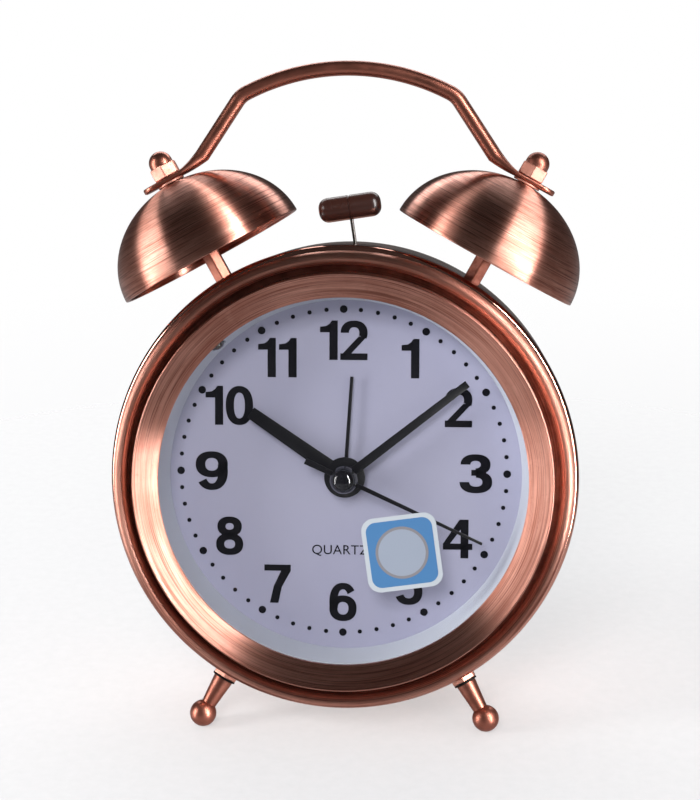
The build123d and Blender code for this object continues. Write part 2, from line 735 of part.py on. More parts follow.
hour_gear_tooth = 180 + 180 / hour_wheel_teeth
hour_wheel = tube(minute_tube_radius + running_gap, hour_tube_radius, hour_hand_y, hour_layer[1])
hour_wheel += gear(hour_wheel_teeth, motion_module, *hour_layer, tooth_at=hour_gear_tooth,
                   bore=minute_tube_radius + running_gap)
add("hour_wheel", hour_wheel)
hour_hand = needle(hour_hand_length, hour_hand_width, hour_hand_y)
hour_hand += disc(hub_disc_radius, hour_hand_y, hour_hand_y + hand_thick)
hour_hand -= disc(hour_tube_radius, hour_hand_y - 1, hour_hand_y + 1)
add("hour_hand", Rot(Y=hour_hand_angle) * hour_hand)

alarm_wheel = tube(hour_tube_radius + running_gap, alarm_tube_radius, alarm_hand_y, alarm_layer[1])
alarm_wheel += gear(alarm_wheel_teeth, alarm_module, *alarm_layer, tooth_at=0,
                    bore=hour_tube_radius + running_gap)
add("alarm_wheel", alarm_wheel)
alarm_hand = needle(alarm_hand_length, alarm_hand_width, alarm_hand_y)
alarm_hand += disc(3.6, alarm_hand_y, alarm_hand_y + hand_thick)
alarm_hand -= disc(alarm_tube_radius, alarm_hand_y - 1, alarm_hand_y + 1)
add("alarm_hand", Rot(Y=alarm_hand_angle) * alarm_hand)
alarm_arbor_rear = alarm_layer[1] + tooth_overhang
alarm_arbor = gear(alarm_wheel_teeth, alarm_module, alarm_layer[0] - tooth_overhang, alarm_arbor_rear,
                   alarm_set_x, 0, tooth_at=180 + 180 / alarm_wheel_teeth)
alarm_arbor += disc(set_shaft_radius, alarm_arbor_rear, knob_front + 2, alarm_set_x)
add("alarm_set_arbor", alarm_arbor)


def knob(x):
    """A fluted knob pushed onto its shaft."""
    body = disc(knob_radius, knob_front, knob_front + knob_length, x)
    body = chamfer(body.edges().filter_by(GeomType.CIRCLE).sort_by(Axis.Y)[-1], 0.6)
    for index in range(knob_flutes):
        flute_x, flute_z = around(knob_radius + 0.35, index * 360 / knob_flutes)
        body -= disc(flute_radius, knob_front - 1, knob_front + knob_length + 1, x + flute_x, flute_z)
    return body - disc(set_shaft_radius, knob_front - 1, knob_front + 2, x)


add("time_set_knob", knob(minute_wheel_x))
add("alarm_set_knob", knob(alarm_set_x))

# Sliding alarm switch and sprung light button
switch = block(switch_x - 2.1, switch_x + 2.1, cover_front - 1.5, cover_rear + switch_proud,
               control_z - 1.3, control_z + 1.3)
switch += block(switch_x - 5, switch_x + 5, cover_front - 1.9, cover_front - 0.3,
                control_z - 3, control_z + 3)
add("alarm_switch", Pos(-switch_travel / 2, 0, 0) * switch)
button = disc(button_radius, cover_front - 1.0, cover_rear + button_proud, button_x, control_z)
button = chamfer(button.edges().filter_by(GeomType.CIRCLE).sort_by(Axis.Y)[-1], 0.5)
button += disc(button_radius + 1.0, cover_front - 2.0, cover_front - 0.3, button_x, control_z)
add("light_button", button)

# Bells, their hardware and the handle
for side, name in ((-1, "left"), (1, "right")):
    add("bell_" + name, bell(side))
    add("bell_post_" + name, bell_post(side))
    add("foot_" + name, foot(side))
bell_washer = rod(washer_radius, bell_height, bell_height + washer_thick)
bell_washer -= rod(stud_hole, bell_height - 1, bell_height + 2)
add("bell_washers", bell_axis(-1) * bell_washer, bell_axis(1) * bell_washer)
add("acorn_nuts", acorn_nut(-1), acorn_nut(1))
add("handle", handle())
add("foot_nuts", foot_nut(-1), foot_nut(1))
foot_disc = rod(foot_washer_radius, foot_nut_height, foot_nut_height + foot_washer) - rod(stud_hole, 0, 5)
add("foot_washers", foot_axis(-1) * foot_disc, foot_axis(1) * foot_disc)

# Hammer, its pivot and its magnetic drive
add("hammer_head", hammer_head())
wire_end = hammer_arm + 0.5
add("hammer_stem", hammer_axis() * rod(hammer_wire, hub_wire_foot, wire_end))
add("hammer_hub", hammer_hub())
magnet_bar = Box(hub_width, hub_depth, 2.0)
add("hammer_magnet", hammer_axis() * Pos(0, 0, hammer_magnet_z) * magnet_bar)
pivot_x, pivot_z = hammer_pivot
add("hammer_pivot_pin", disc(hammer_pin_radius, dial_face_y + dial_thick, bracket_rear, pivot_x, pivot_z))
bracket = block(pivot_x - 9, pivot_x + 9, bracket_front, bracket_rear, bracket_low, pivot_z + 4)
bracket -= disc(hammer_pin_radius, hammer_y, hammer_y + 6, pivot_x, pivot_z)
add("hammer_bracket", bracket)
ring_coil = Cylinder(ring_coil_radius, ring_coil_height) - Cylinder(ring_core_radius, ring_coil_height + 1)
add("hammer_coil", Pos(pivot_x, hammer_y, ring_coil_z) * ring_coil)
ring_core = Cylinder(ring_core_radius, ring_coil_height + 0.6)
add("hammer_coil_core", Pos(pivot_x, hammer_y, ring_coil_z) * ring_core)

# Lean the clock back until the ball feet and the drum's rear edge share one level
foot_centre = (foot_axis(1) * Pos(0, 0, foot_length)).position
roll_centre_z = -(drum_radius - rear_roll)
roll_centre_y = drum_rear - rear_roll
rise = roll_centre_z - foot_centre.Z
run = roll_centre_y - foot_centre.Y
span = sqrt(rise**2 + run**2)
level_gap = foot_ball_radius - rear_roll
lean = atan2(rise, run) + atan2(level_gap, span)
leaned = Rot(X=-degrees(lean))
whole = Compound(children=[leaned * node for node in nodes.values()]).bounding_box()
place = Pos(-whole.center().X, -whole.center().Y, -whole.min.Z) * leaned

for name, node in nodes.items():
    export_step(place * node, "parts/" + name + ".step")
print("lean", round(degrees(lean), 2), "size", whole.size)
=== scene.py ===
import json
import math
import bmesh
import bpy
from mathutils import Matrix, Vector


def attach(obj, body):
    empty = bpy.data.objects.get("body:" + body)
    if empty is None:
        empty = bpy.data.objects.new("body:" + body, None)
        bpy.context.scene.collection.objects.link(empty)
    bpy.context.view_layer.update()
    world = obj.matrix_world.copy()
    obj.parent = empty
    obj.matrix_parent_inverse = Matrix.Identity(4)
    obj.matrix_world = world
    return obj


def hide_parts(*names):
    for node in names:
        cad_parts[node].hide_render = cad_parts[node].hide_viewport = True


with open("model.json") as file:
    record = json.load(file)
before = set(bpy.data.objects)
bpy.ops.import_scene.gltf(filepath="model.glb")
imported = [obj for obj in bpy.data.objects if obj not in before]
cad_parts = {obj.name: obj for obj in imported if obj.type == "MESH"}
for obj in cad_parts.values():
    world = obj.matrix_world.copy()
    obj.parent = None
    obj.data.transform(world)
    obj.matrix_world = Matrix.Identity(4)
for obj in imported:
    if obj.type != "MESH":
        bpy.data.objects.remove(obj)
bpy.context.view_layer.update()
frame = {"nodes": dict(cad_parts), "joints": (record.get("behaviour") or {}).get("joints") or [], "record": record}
scene = bpy.context.scene
bodyGroups = frame["record"]["behaviour"]["bodies"]
bodyOfNode = {node: body for body, group in bodyGroups.items() for node in group}

# The clock leans back. Its pieces are drawn upright in millimetres, with Y through the dial
# towards the rear, and put in place with clockPlace.
dialJoint = [joint for joint in frame["joints"] if joint["name"] == "second_hand_turn"][0]
dialAxis = Vector(dialJoint["axis"]).normalized()
jointSetBack = 0.020  # metres from the front of the case to the joint's mark
dialCentre = Vector(dialJoint["pos_m"]) - jointSetBack * dialAxis
sideways = Vector((1, 0, 0))
clockTurn = Matrix((sideways, dialAxis, sideways.cross(dialAxis))).transposed().to_4x4()
clockPlace = Matrix.Translation(dialCentre) @ clockTurn @ Matrix.Scale(0.001, 4)
print("frame loaded, clock leans", round(math.degrees(math.acos(dialAxis.y)), 2))

# small helpers for node trees


def addNode(tree, kind, **settings):
    node = tree.nodes.new("ShaderNode" + kind)
    for key, value in settings.items():
        setattr(node, key, value)
    return node


def feed(tree, socket, value):
    if isinstance(value, bpy.types.NodeSocket):
        tree.links.new(value, socket)
    elif value is not None:
        socket.default_value = value


def sums(tree, operation, *values):
    node = addNode(tree, "Math", operation=operation)
    for place, value in enumerate(values):
        feed(tree, node.inputs[place], value)
    return node.outputs[0]


def ramp(tree, value, low, high, start=0.0, end=1.0):
    node = addNode(tree, "MapRange")
    names = ("Value", "From Min", "From Max", "To Min", "To Max")
    for name, number in zip(names, (value, low, high, start, end)):
        feed(tree, node.inputs[name], number)
    return node.outputs[0]


def blend(tree, factor, a, b):
    node = addNode(tree, "Mix", data_type="RGBA")
    feed(tree, node.inputs["Factor"], factor)
    feed(tree, node.inputs["A"], a)
    feed(tree, node.inputs["B"], b)
    return node.outputs["Result"]


def noise(tree, vector, scale, detail=3.0, rough=0.6):
    node = addNode(tree, "TexNoise")
    feed(tree, node.inputs["Vector"], vector)
    feed(tree, node.inputs["Scale"], scale)
    node.inputs["Detail"].default_value = detail
    node.inputs["Roughness"].default_value = rough
    return node.outputs["Fac"]


def splitUp(tree, vector):
    node = addNode(tree, "SeparateXYZ")
    feed(tree, node.inputs[0], vector)
    return node.outputs


def radiusOf(tree, x, y):
    squares = sums(tree, "ADD", sums(tree, "MULTIPLY", x, x), sums(tree, "MULTIPLY", y, y))
    return sums(tree, "SQRT", squares)


def makeGroup(name, inputs, outputs):
    group = bpy.data.node_groups.new(name, "ShaderNodeTree")
    for label, kind, value in inputs:
        socket = group.interface.new_socket(
            name=label, in_out="INPUT", socket_type="NodeSocket" + kind)
        if value is not None:
            socket.default_value = value
    for label, kind in outputs:
        group.interface.new_socket(
            name=label, in_out="OUTPUT", socket_type="NodeSocket" + kind)
    given = group.nodes.new("NodeGroupInput").outputs
    made = group.nodes.new("NodeGroupOutput").inputs
    return group, given, made


def useGroup(tree, group, **values):
    node = addNode(tree, "Group", node_tree=group)
    for name, value in values.items():
        feed(tree, node.inputs[name], value)
    return node.outputs


def placeOf(tree, turn):
    # object coordinates seen from a piece's own frame, in metres
    coordinates = addNode(tree, "TexCoord")
    mapping = addNode(tree, "Mapping", vector_type="TEXTURE")
    mapping.inputs["Location"].default_value = turn.to_translation()
    mapping.inputs["Rotation"].default_value = turn.to_euler("XYZ")
    tree.links.new(coordinates.outputs["Object"], mapping.inputs["Vector"])
    return mapping.outputs["Vector"]


def newMaterial(name):
    material = bpy.data.materials.new(name)
    material.use_nodes = True
    return material, material.node_tree, material.node_tree.nodes["Principled BSDF"]


def bump(tree, shader, height, distance, strength=1.0):
    node = addNode(tree, "Bump")
    node.inputs["Distance"].default_value = distance
    node.inputs["Strength"].default_value = strength
    tree.links.new(height, node.inputs["Height"])
    tree.links.new(node.outputs["Normal"], shader.inputs["Normal"])


# camera and light

camera = {
    "place": (26.6, -435.0, 71.1), "yaw": -0.057, "pitch": -0.114, "roll": 0.003,
    "lens": 91.24, "sensor": 36, "shift": -0.0029, "nearest": 0.01,
}


def makeCamera():
    yaw, pitch = camera["yaw"], camera["pitch"]
    level = math.cos(pitch)
    ahead = Vector((math.sin(yaw) * level, math.cos(yaw) * level, math.sin(pitch)))
    right = ahead.cross(Vector((0, 0, 1))).normalized()
    look = Matrix((right, right.cross(ahead), -ahead)).transposed().to_4x4()
    data = bpy.data.cameras.new("camera")
    data.sensor_fit = "HORIZONTAL"
    data.sensor_width = camera["sensor"]
    data.lens = camera["lens"]
    data.shift_y = camera["shift"]
    data.clip_start = camera["nearest"]
    made = bpy.data.objects.new("camera", data)
    scene.collection.objects.link(made)
    spot = Matrix.Translation(clockPlace @ Vector(camera["place"]))
    made.matrix_world = spot @ clockTurn @ look @ Matrix.Rotation(camera["roll"], 4, "Z")
    scene.camera = made


# a lamp lights matt surfaces, shows in gloss, or both
lamps = {
    "leftBox": {"at": (-0.72, -0.24, 0.12), "size": (0.18, 0.80), "watts": 6.5, "lights": "both"},
    "rightBox": {"at": (0.60, -0.50, 0.34), "size": (0.085, 1.00), "watts": 17.0, "lights": "gloss"},
    "backBox": {"at": (0.0, 0.80, 0.62), "size": (1.3, 0.30), "watts": 5.0, "lights": "both"},
    "frontFill": {"at": (-0.15, -0.95, 0.75), "size": (0.4, 0.4), "watts": 6.6, "lights": "matt"},
}
lampTarget = Vector((0, 0, 0.08))
room = {
    "background": (1, 1, 1, 1), "glow": (0.34, 0.34, 0.36, 1),
    "table": 0.36, "dark": 0.045, "tableFrom": -0.55, "tableTo": -0.05,
}


def makeLights():
    for name, lamp in lamps.items():
        data = bpy.data.lights.new(name, "AREA")
        data.shape = "RECTANGLE"
        data.size, data.size_y = lamp["size"]
        data.energy = lamp["watts"]
        made = bpy.data.objects.new(name, data)
        scene.collection.objects.link(made)
        away = (Vector(lamp["at"]) - lampTarget).to_track_quat("Z", "Y")
        made.matrix_world = Matrix.Translation(lamp["at"]) @ away.to_matrix().to_4x4()
        made.visible_glossy = lamp["lights"] != "matt"
        made.visible_diffuse = lamp["lights"] != "gloss"


def makeRoom():
    # a white background; the copper sees a dark room over a pale table, the rest a soft glow
    world = bpy.data.worlds.new("studio")
    scene.world = world
    world.use_nodes = True
    tree = world.node_tree
    path = addNode(tree, "LightPath")
    height = splitUp(tree, addNode(tree, "TexCoord").outputs["Generated"])["Z"]
    table = ramp(tree, height, room["tableFrom"], room["tableTo"], room["table"], room["dark"])
    tone = blend(tree, path.outputs["Is Glossy Ray"], room["glow"], table)
    tone = blend(tree, path.outputs["Is Camera Ray"], tone, room["background"])
    tree.links.new(tone, tree.nodes["Background"].inputs["Color"])
    scene.view_settings.view_transform = "Standard"


makeCamera()
makeLights()
makeRoom()
print("camera and lights placed")

# effects that several materials share


def makeSpunBrush():
    # brushing in circles round the frame's Z: fine lines across the profile, long along the turn
    tree, given, made = makeGroup(
        "spunBrush",
        [("Place", "Vector", None), ("Fineness", "Float", 3000.0), ("Reach", "Float", 1.2)],
        [("Lines", "Float"), ("Bands", "Float")])
    x, y, z = splitUp(tree, given["Place"])
    radius = radiusOf(tree, x, y)
    safe = sums(tree, "MAXIMUM", radius, 0.0001)
    along = sums(tree, "SUBTRACT", radius, z)
    for output, share, reach in (("Lines", 1.0, 1.0), ("Bands", 0.16, 1.6)):
        vector = addNode(tree, "CombineXYZ")
        for number, side in enumerate((x, y)):
            unit = sums(tree, "DIVIDE", side, safe)
            longer = sums(tree, "MULTIPLY", given["Reach"], reach)
            feed(tree, vector.inputs[number], sums(tree, "MULTIPLY", unit, longer))
        finer = sums(tree, "MULTIPLY", given["Fineness"], share)
        feed(tree, vector.inputs[2], sums(tree, "MULTIPLY", along, finer))
        feed(tree, made[output], noise(tree, vector.outputs[0], 1.0, 4.0, 0.65))
    return tree


def makePatina():
    # copper that darkens in patches, with small specks where the plate has aged
    tree, given, made = makeGroup(
        "patina",
        [("Place", "Vector", None), ("Bright", "Color", None), ("Dark", "Color", None),
         ("Spread", "Float", 45.0), ("Amount", "Float", 0.5), ("Specks", "Float", 0.25)],
        [("Color", "Color"), ("Age", "Float")])
    cloud = noise(tree, given["Place"], given["Spread"], 5.0, 0.62)
    age = sums(tree, "MULTIPLY", ramp(tree, cloud, 0.38, 0.68), given["Amount"])
    dots = noise(tree, given["Place"], sums(tree, "MULTIPLY", given["Spread"], 28.0), 2.0, 0.5)
    speck = sums(tree, "MULTIPLY", ramp(tree, dots, 0.60, 0.74), given["Specks"])
    total = sums(tree, "MINIMUM", sums(tree, "ADD", age, speck), 1.0)
    feed(tree, made["Color"], blend(tree, total, given["Bright"], given["Dark"]))
    feed(tree, made["Age"], total)
    return tree


def makeEdgeWear():
    # rubbed edges: brighter where the surface bulges
    tree, given, made = makeGroup(
        "edgeWear", [("Place", "Vector", None), ("Amount", "Float", 0.5)], [("Wear", "Float")])
    bulge = ramp(tree, addNode(tree, "NewGeometry").outputs["Pointiness"], 0.51, 0.60)
    broken = ramp(tree, noise(tree, given["Place"], 700.0), 0.35, 0.6)
    rubbed = sums(tree, "MULTIPLY", bulge, broken)
    feed(tree, made["Wear"], sums(tree, "MULTIPLY", rubbed, given["Amount"]))
    return tree


def makeMouldGrain():
    # moulded plastic: soft tone changes and a fine pebbled skin
    tree, given, made = makeGroup(
        "mouldGrain",
        [("Place", "Vector", None), ("Tone", "Color", None), ("Shade", "Color", None),
         ("Grain", "Float", 3500.0), ("Rough", "Float", 0.45)],
        [("Color", "Color"), ("Roughness", "Float"), ("Height", "Float")])
    soft = noise(tree, given["Place"], 60.0, 3.0, 0.5)
    pebble = noise(tree, given["Place"], given["Grain"], 2.0, 0.5)
    mixed = sums(tree, "MULTIPLY_ADD", soft, 0.7, sums(tree, "MULTIPLY", pebble, 0.3))
    feed(tree, made["Color"], blend(tree, mixed, given["Tone"], given["Shade"]))
    uneven = ramp(tree, soft, 0.3, 0.7, -0.06, 0.06)
    feed(tree, made["Roughness"], sums(tree, "ADD", given["Rough"], uneven))
    feed(tree, made["Height"], pebble)
    return tree


spunBrush = makeSpunBrush()
patina = makePatina()
edgeWear = makeEdgeWear()
mouldGrain = makeMouldGrain()

copperTones = {
    "bright": (0.70, 0.35, 0.27, 1), "mid": (0.42, 0.155, 0.108, 1),
    "dark": (0.15, 0.044, 0.031, 1), "black": (0.022, 0.010, 0.008, 1),
}


def brushedCopper(name, turn, grooveShade=None, fineness=2600.0, rough=0.34, stretch=1.0, amount=0.4,
                  depth=0.00003):
    # copper brushed in circles about the frame's Z
    material, tree, shader = newMaterial(name)
    place = placeOf(tree, turn)
    brush = useGroup(tree, spunBrush, Place=place, Fineness=fineness)
    aged = useGroup(tree, patina, Place=place, Bright=copperTones["bright"],
                    Dark=copperTones["mid"], Amount=amount, Specks=0.2)
    wear = useGroup(tree, edgeWear, Place=place)
    bands = ramp(tree, brush["Bands"], 0.40, 0.66, 0.0, 0.75)
    colour = blend(tree, bands, aged["Color"], copperTones["mid"])
    lines = ramp(tree, brush["Lines"], 0.48, 0.68, 0.0, 0.9)
    colour = blend(tree, lines, colour, copperTones["dark"])
    colour = blend(tree, wear["Wear"], colour, copperTones["bright"])
    # painted shade: where a groove mask is given, the copper is blended towards black in the gap between bezel and
    # ring
    if grooveShade:
        colour = blend(tree, grooveShade(tree, place), colour, copperTones["black"])
    feed(tree, shader.inputs["Base Color"], colour)
    shader.inputs["Metallic"].default_value = 1.0
    shader.inputs["Anisotropic"].default_value = stretch
    shader.inputs["Anisotropic Rotation"].default_value = 0.25
    scratched = ramp(tree, brush["Lines"], 0.3, 0.7, rough - 0.05, rough + 0.08)
    dull = sums(tree, "MULTIPLY", aged["Age"], 0.10)
    feed(tree, shader.inputs["Roughness"], sums(tree, "ADD", scratched, dull))
    bump(tree, shader, brush["Lines"], depth, 0.5)
    # the brushing runs round the axis, so highlights stretch across it
    coordinates = addNode(tree, "TexCoord")
    arm = addNode(tree, "VectorMath", operation="SUBTRACT")
    tree.links.new(coordinates.outputs["Object"], arm.inputs[0])
    arm.inputs[1].default_value = turn.to_translation()
    around = addNode(tree, "VectorMath", operation="CROSS_PRODUCT")
    around.inputs[0].default_value = turn.to_3x3().col[2]
    tree.links.new(arm.outputs[0], around.inputs[1])
    tree.links.new(around.outputs[0], shader.inputs["Tangent"])
    return material


def polishedCopper(name, turn, tones=("bright", "mid"), rough=0.16, amount=0.6, spread=45.0,
                   worn=0.3, specks=0.2):
    # smoother antique copper, tarnished in patches
    material, tree, shader = newMaterial(name)
    place = placeOf(tree, turn)
    aged = useGroup(tree, patina, Place=place, Bright=copperTones[tones[0]],
                    Dark=copperTones[tones[1]], Amount=amount, Spread=spread, Specks=specks)
    wear = useGroup(tree, edgeWear, Place=place, Amount=worn)
    colour = blend(tree, wear["Wear"], aged["Color"], copperTones["bright"])
    feed(tree, shader.inputs["Base Color"], colour)
    shader.inputs["Metallic"].default_value = 1.0
    smear = noise(tree, place, 180.0, 4.0, 0.6)
    smeared = ramp(tree, smear, 0.3, 0.7, rough - 0.04, rough + 0.05)
    dull = sums(tree, "MULTIPLY", aged["Age"], 0.12)
    feed(tree, shader.inputs["Roughness"], sums(tree, "ADD", smeared, dull))
    bump(tree, shader, noise(tree, place, 900.0, 3.0, 0.55), 0.000003, 0.4)
    return material


def mouldedPlastic(name, tone, shade, grain=2600.0, rough=0.45, depth=0.00003, specular=0.5):
    material, tree, shader = newMaterial(name)
    skin = useGroup(tree, mouldGrain, Place=placeOf(tree, dialFrame), Tone=(*tone, 1),
                    Shade=(*shade, 1), Grain=grain, Rough=rough)
    feed(tree, shader.inputs["Base Color"], skin["Color"])
    feed(tree, shader.inputs["Roughness"], skin["Roughness"])
    shader.inputs["Specular IOR Level"].default_value = specular
    bump(tree, shader, skin["Height"], depth, 0.5)
    return material


def plainMetal(name, bright, dark, rough=0.3, spread=90.0):
    material, tree, shader = newMaterial(name)
    place = placeOf(tree, dialFrame)
    aged = useGroup(tree, patina, Place=place, Bright=(*bright, 1), Dark=(*dark, 1), Amount=0.6,
                    Spread=spread, Specks=0.15)
    feed(tree, shader.inputs["Base Color"], aged["Color"])
    shader.inputs["Metallic"].default_value = 1.0
    feed(tree, shader.inputs["Roughness"], ramp(tree, aged["Age"], 0.0, 1.0, rough, rough + 0.15))
    bump(tree, shader, noise(tree, place, 1500.0, 2.0, 0.5), 0.00001, 0.4)
    return material


# frames of the pieces, in millimetres on the upright clock

stand = {
    "bellAt": (34.9, 19.0, 55.3), "bellLean": 28.9,
    "footDepth": 10, "footRound": 149.5, "footOut": 58.8, "footTilt": 12,
}


def turnAbout(axis, angle):
    return Matrix.Rotation(math.radians(angle), 4, axis)


def bellFrame(side):
    x, y, z = stand["bellAt"]
    return Matrix.Translation((side * x, y, z)) @ turnAbout("Y", side * stand["bellLean"])


def footFrame(side):
    depth = Matrix.Translation((0, stand["footDepth"], 0))
    outwards = Matrix.Translation((0, 0, stand["footOut"])) @ turnAbout("X", stand["footTilt"])
    return depth @ turnAbout("Y", side * stand["footRound"]) @ outwards


def inMetres(frameInMm):
    # a piece's frame as materials need it: in the scene, without scale
    spot = clockPlace @ frameInMm.to_translation()
    return Matrix.Translation(spot) @ clockTurn @ frameInMm.to_3x3().to_4x4()


dialFrame = inMetres(turnAbout("X", -90))  # its Z is the dial axis

# small helpers for meshes


def drawLine(bm, points):
    verts = [bm.verts.new(point) for point in points]
    for pair in zip(verts, verts[1:]):
        bm.edges.new(pair)
    return verts


def vertsOf(items):
    return [item for item in items if isinstance(item, bmesh.types.BMVert)]


def edgesOf(items):
    return [item for item in items if isinstance(item, bmesh.types.BMEdge)]


def spinRound(bm, axis="Z", steps=160):
    # a full turn of everything drawn so far, then doubles are merged and faces point outwards
    turn = {"Z": (0, 0, 1), "Y": (0, 1, 0)}[axis]
    bmesh.ops.spin(bm, geom=bm.verts[:] + bm.edges[:], cent=(0, 0, 0), axis=turn,
                   angle=math.tau, steps=steps, use_merge=True)
    bmesh.ops.remove_doubles(bm, verts=bm.verts, dist=0.0005)
    bmesh.ops.recalc_face_normals(bm, faces=bm.faces)


def drawProfile(bm, corners, closed=True):
    # (radius, y) corners; a third and a fourth number round that corner
    verts = drawLine(bm, [(corner[0], corner[1], 0) for corner in corners])
    if closed:
        bm.edges.new((verts[-1], verts[0]))
    for vert, corner in zip(verts, corners):
        if len(corner) > 2:
            bmesh.ops.bevel(bm, geom=[vert], offset=corner[2], affect="VERTICES",
                            segments=corner[3], profile=0.5, material=-1)


def isSharp(edge, angle):
    return len(edge.link_faces) == 2 and edge.calc_face_angle() > math.radians(angle)


def easeEdges(bm, edges, width, segments=2):
    bmesh.ops.bevel(bm, geom=edges, offset=width, affect="EDGES", segments=segments,
                    profile=0.5, material=-1)


def softenEdges(bm, width, angle=50, segments=2):
    sharp = [edge for edge in bm.edges if isSharp(edge, angle)]
    bmesh.ops.bevel(bm, geom=sharp, offset=width, offset_type="OFFSET", affect="EDGES",
                    segments=segments, profile=0.5, material=-1, clamp_overlap=True)


def addDisc(bm, radius, low, high, segments, turn=None):
    # a round plate between two heights of its own Z
    spot = Matrix.Translation((0, 0, (low + high) / 2))
    made = bmesh.ops.create_cone(bm, cap_ends=True, segments=segments, radius1=radius,
                                 radius2=radius, depth=high - low, matrix=(turn or Matrix()) @ spot)
    return made["verts"]


def makePiece(name, bm, place, material, node, sharpAngle=40, scaled=True, body=None):
    # stands for one CAD node, and rides with that node's body
    for face in bm.faces:
        face.smooth = True
    for edge in bm.edges:
        if isSharp(edge, sharpAngle):
            edge.smooth = False
    mesh = bpy.data.meshes.new(name)
    bm.to_mesh(mesh)
    bm.free()
    mesh.transform(clockPlace @ place if scaled else place)
    made = bpy.data.objects.new(name, mesh)
    scene.collection.objects.link(made)
    for one in (material if isinstance(material, list) else [material]):
        mesh.materials.append(one)
    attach(made, body or bodyOfNode[node])
    if node:
        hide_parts(node)
    return made


def smoothCopy(node, name, material, slot, easing=0.0):
    # a CAD solid with its facets merged, its flats cleaned up and its edges eased
    bm = bmesh.new()
    bm.from_mesh(frame["nodes"][node].data)
    bmesh.ops.remove_doubles(bm, verts=bm.verts, dist=0.000002)
    bmesh.ops.dissolve_limit(bm, angle_limit=math.radians(0.5), verts=bm.verts, edges=bm.edges)
    made = makePiece(name, bm, Matrix.Identity(4), material, node, 32, scaled=False)
    if easing:
        ease = made.modifiers.new("ease", "BEVEL")
        ease.width = easing * 0.001
        ease.segments = 2
        ease.limit_method = "ANGLE"
        ease.angle_limit = math.radians(40)
        ease.use_clamp_overlap = True
        ease.harden_normals = False


# drum, ring and bezel

drum = {
    "radius": 58.8, "front": 3.2, "rear": 42.0, "frontHole": 53.0, "rearHole": 53.5, "sheet": 0.8,
    "slot": (-5.6, 8.8, 13.1, 15.9), "slotAbove": 50,
}


def makeDrum():
    bm = bmesh.new()
    radius, front, rear = drum["radius"], drum["front"], drum["rear"]
    drawProfile(bm, [(drum["frontHole"], front), (radius, front, 1.4, 5),
                     (radius, rear, 3.0, 8), (drum["rearHole"], rear)], closed=False)
    spinRound(bm, "Y", 192)
    # the hammer's slot: cut lines round it, then its faces go
    left, right, near, far = drum["slot"]
    cuts = [((left, 0, 0), (1, 0, 0)), ((right, 0, 0), (1, 0, 0)),
            ((0, near, 0), (0, 1, 0)), ((0, far, 0), (0, 1, 0))]
    for spot, way in cuts:
        top = [face for face in bm.faces if face.calc_center_median().z > drum["slotAbove"]]
        around = list({item for face in top for item in [face, *face.edges, *face.verts]})
        bmesh.ops.bisect_plane(bm, geom=around, plane_co=spot, plane_no=way, dist=0.0001)
    inSlot = []
    for face in bm.faces:
        middle = face.calc_center_median()
        inside = left < middle.x < right and near < middle.y < far
        if middle.z > drum["slotAbove"] and inside:
            inSlot.append(face)
    bmesh.ops.delete(bm, geom=inSlot, context="FACES")
    walls = [face for face in bm.faces if abs(face.normal.y) < 0.1]
    if min(face.calc_center_median().dot(face.normal) for face in walls) < 0:
        bmesh.ops.reverse_faces(bm, faces=bm.faces)
    bmesh.ops.solidify(bm, geom=bm.faces[:], thickness=drum["sheet"])
    material = polishedCopper("copperDrum", dialFrame, rough=0.10, amount=0.5, spread=30.0)
    makePiece("drum", bm, Matrix.Identity(4), material, "case_barrel", 50)


def settled(low, high, near, far):
    # painted shade in the groove between bezel and ring, darker between two radii and deeper than a given depth
    # along the frame's Z
    def mask(tree, place):
        x, y, z = splitUp(tree, place)
        inside = ramp(tree, radiusOf(tree, x, y), high * 0.001, low * 0.001)
        deep = ramp(tree, z, near * 0.001, far * 0.001)
        ragged = ramp(tree, noise(tree, place, 120.0), 0.3, 0.7, 0.35, 0.75)
        return sums(tree, "MULTIPLY", sums(tree, "MULTIPLY", inside, deep), ragged)
    return mask


ring = {
    "outer": 57.5, "inner": 54.2, "rise": 1.8, "middle": 0.3, "floor": 2.0, "seat": 52.4,
    # painted shade in the gap between ring and bezel: the radii and depths it fades across
    "grooveShade": (54.0, 54.35, 0.2, 1.2),
}


def makeRing():
    bm = bmesh.new()
    outer, inner, floor, seat = ring["outer"], ring["inner"], ring["floor"], ring["seat"]
    level = ring["middle"]
    start = bm.verts.new((outer, level, 0))
    arc = bmesh.ops.spin(bm, geom=[start], cent=((outer + inner) / 2, level, 0), axis=(0, 0, -1),
                         angle=math.pi, steps=14)
    end = vertsOf(arc["geom_last"])[0]
    bmesh.ops.scale(bm, vec=(1, ring["rise"] / ((outer - inner) / 2), 1),
                    space=Matrix.Translation((0, -level, 0)), verts=bm.verts)
    verts = drawLine(bm, [(inner, floor, 0), (seat, floor, 0),
                          (seat, drum["front"], 0), (outer, drum["front"], 0)])
    bm.edges.new((end, verts[0]))
    bm.edges.new((verts[-1], start))
    spinRound(bm, "Y", 192)
    material = brushedCopper("copperRing", dialFrame, settled(*ring["grooveShade"]), stretch=0.85,
                             amount=0.45)
    makePiece("ring", bm, Matrix.Identity(4), material, "front_ring", 50)


bezel = {
    "outer": 52.3, "front": -4.0, "rear": 6.0, "opening": 46.1, "mouth": -1.6, "lensSeat": -0.7,
    # painted shade in the gap between bezel and ring: the radii and depths it fades across
    "skirt": 51.5, "grooveShade": (60.0, 52.0, -1.0, 1.0),
}


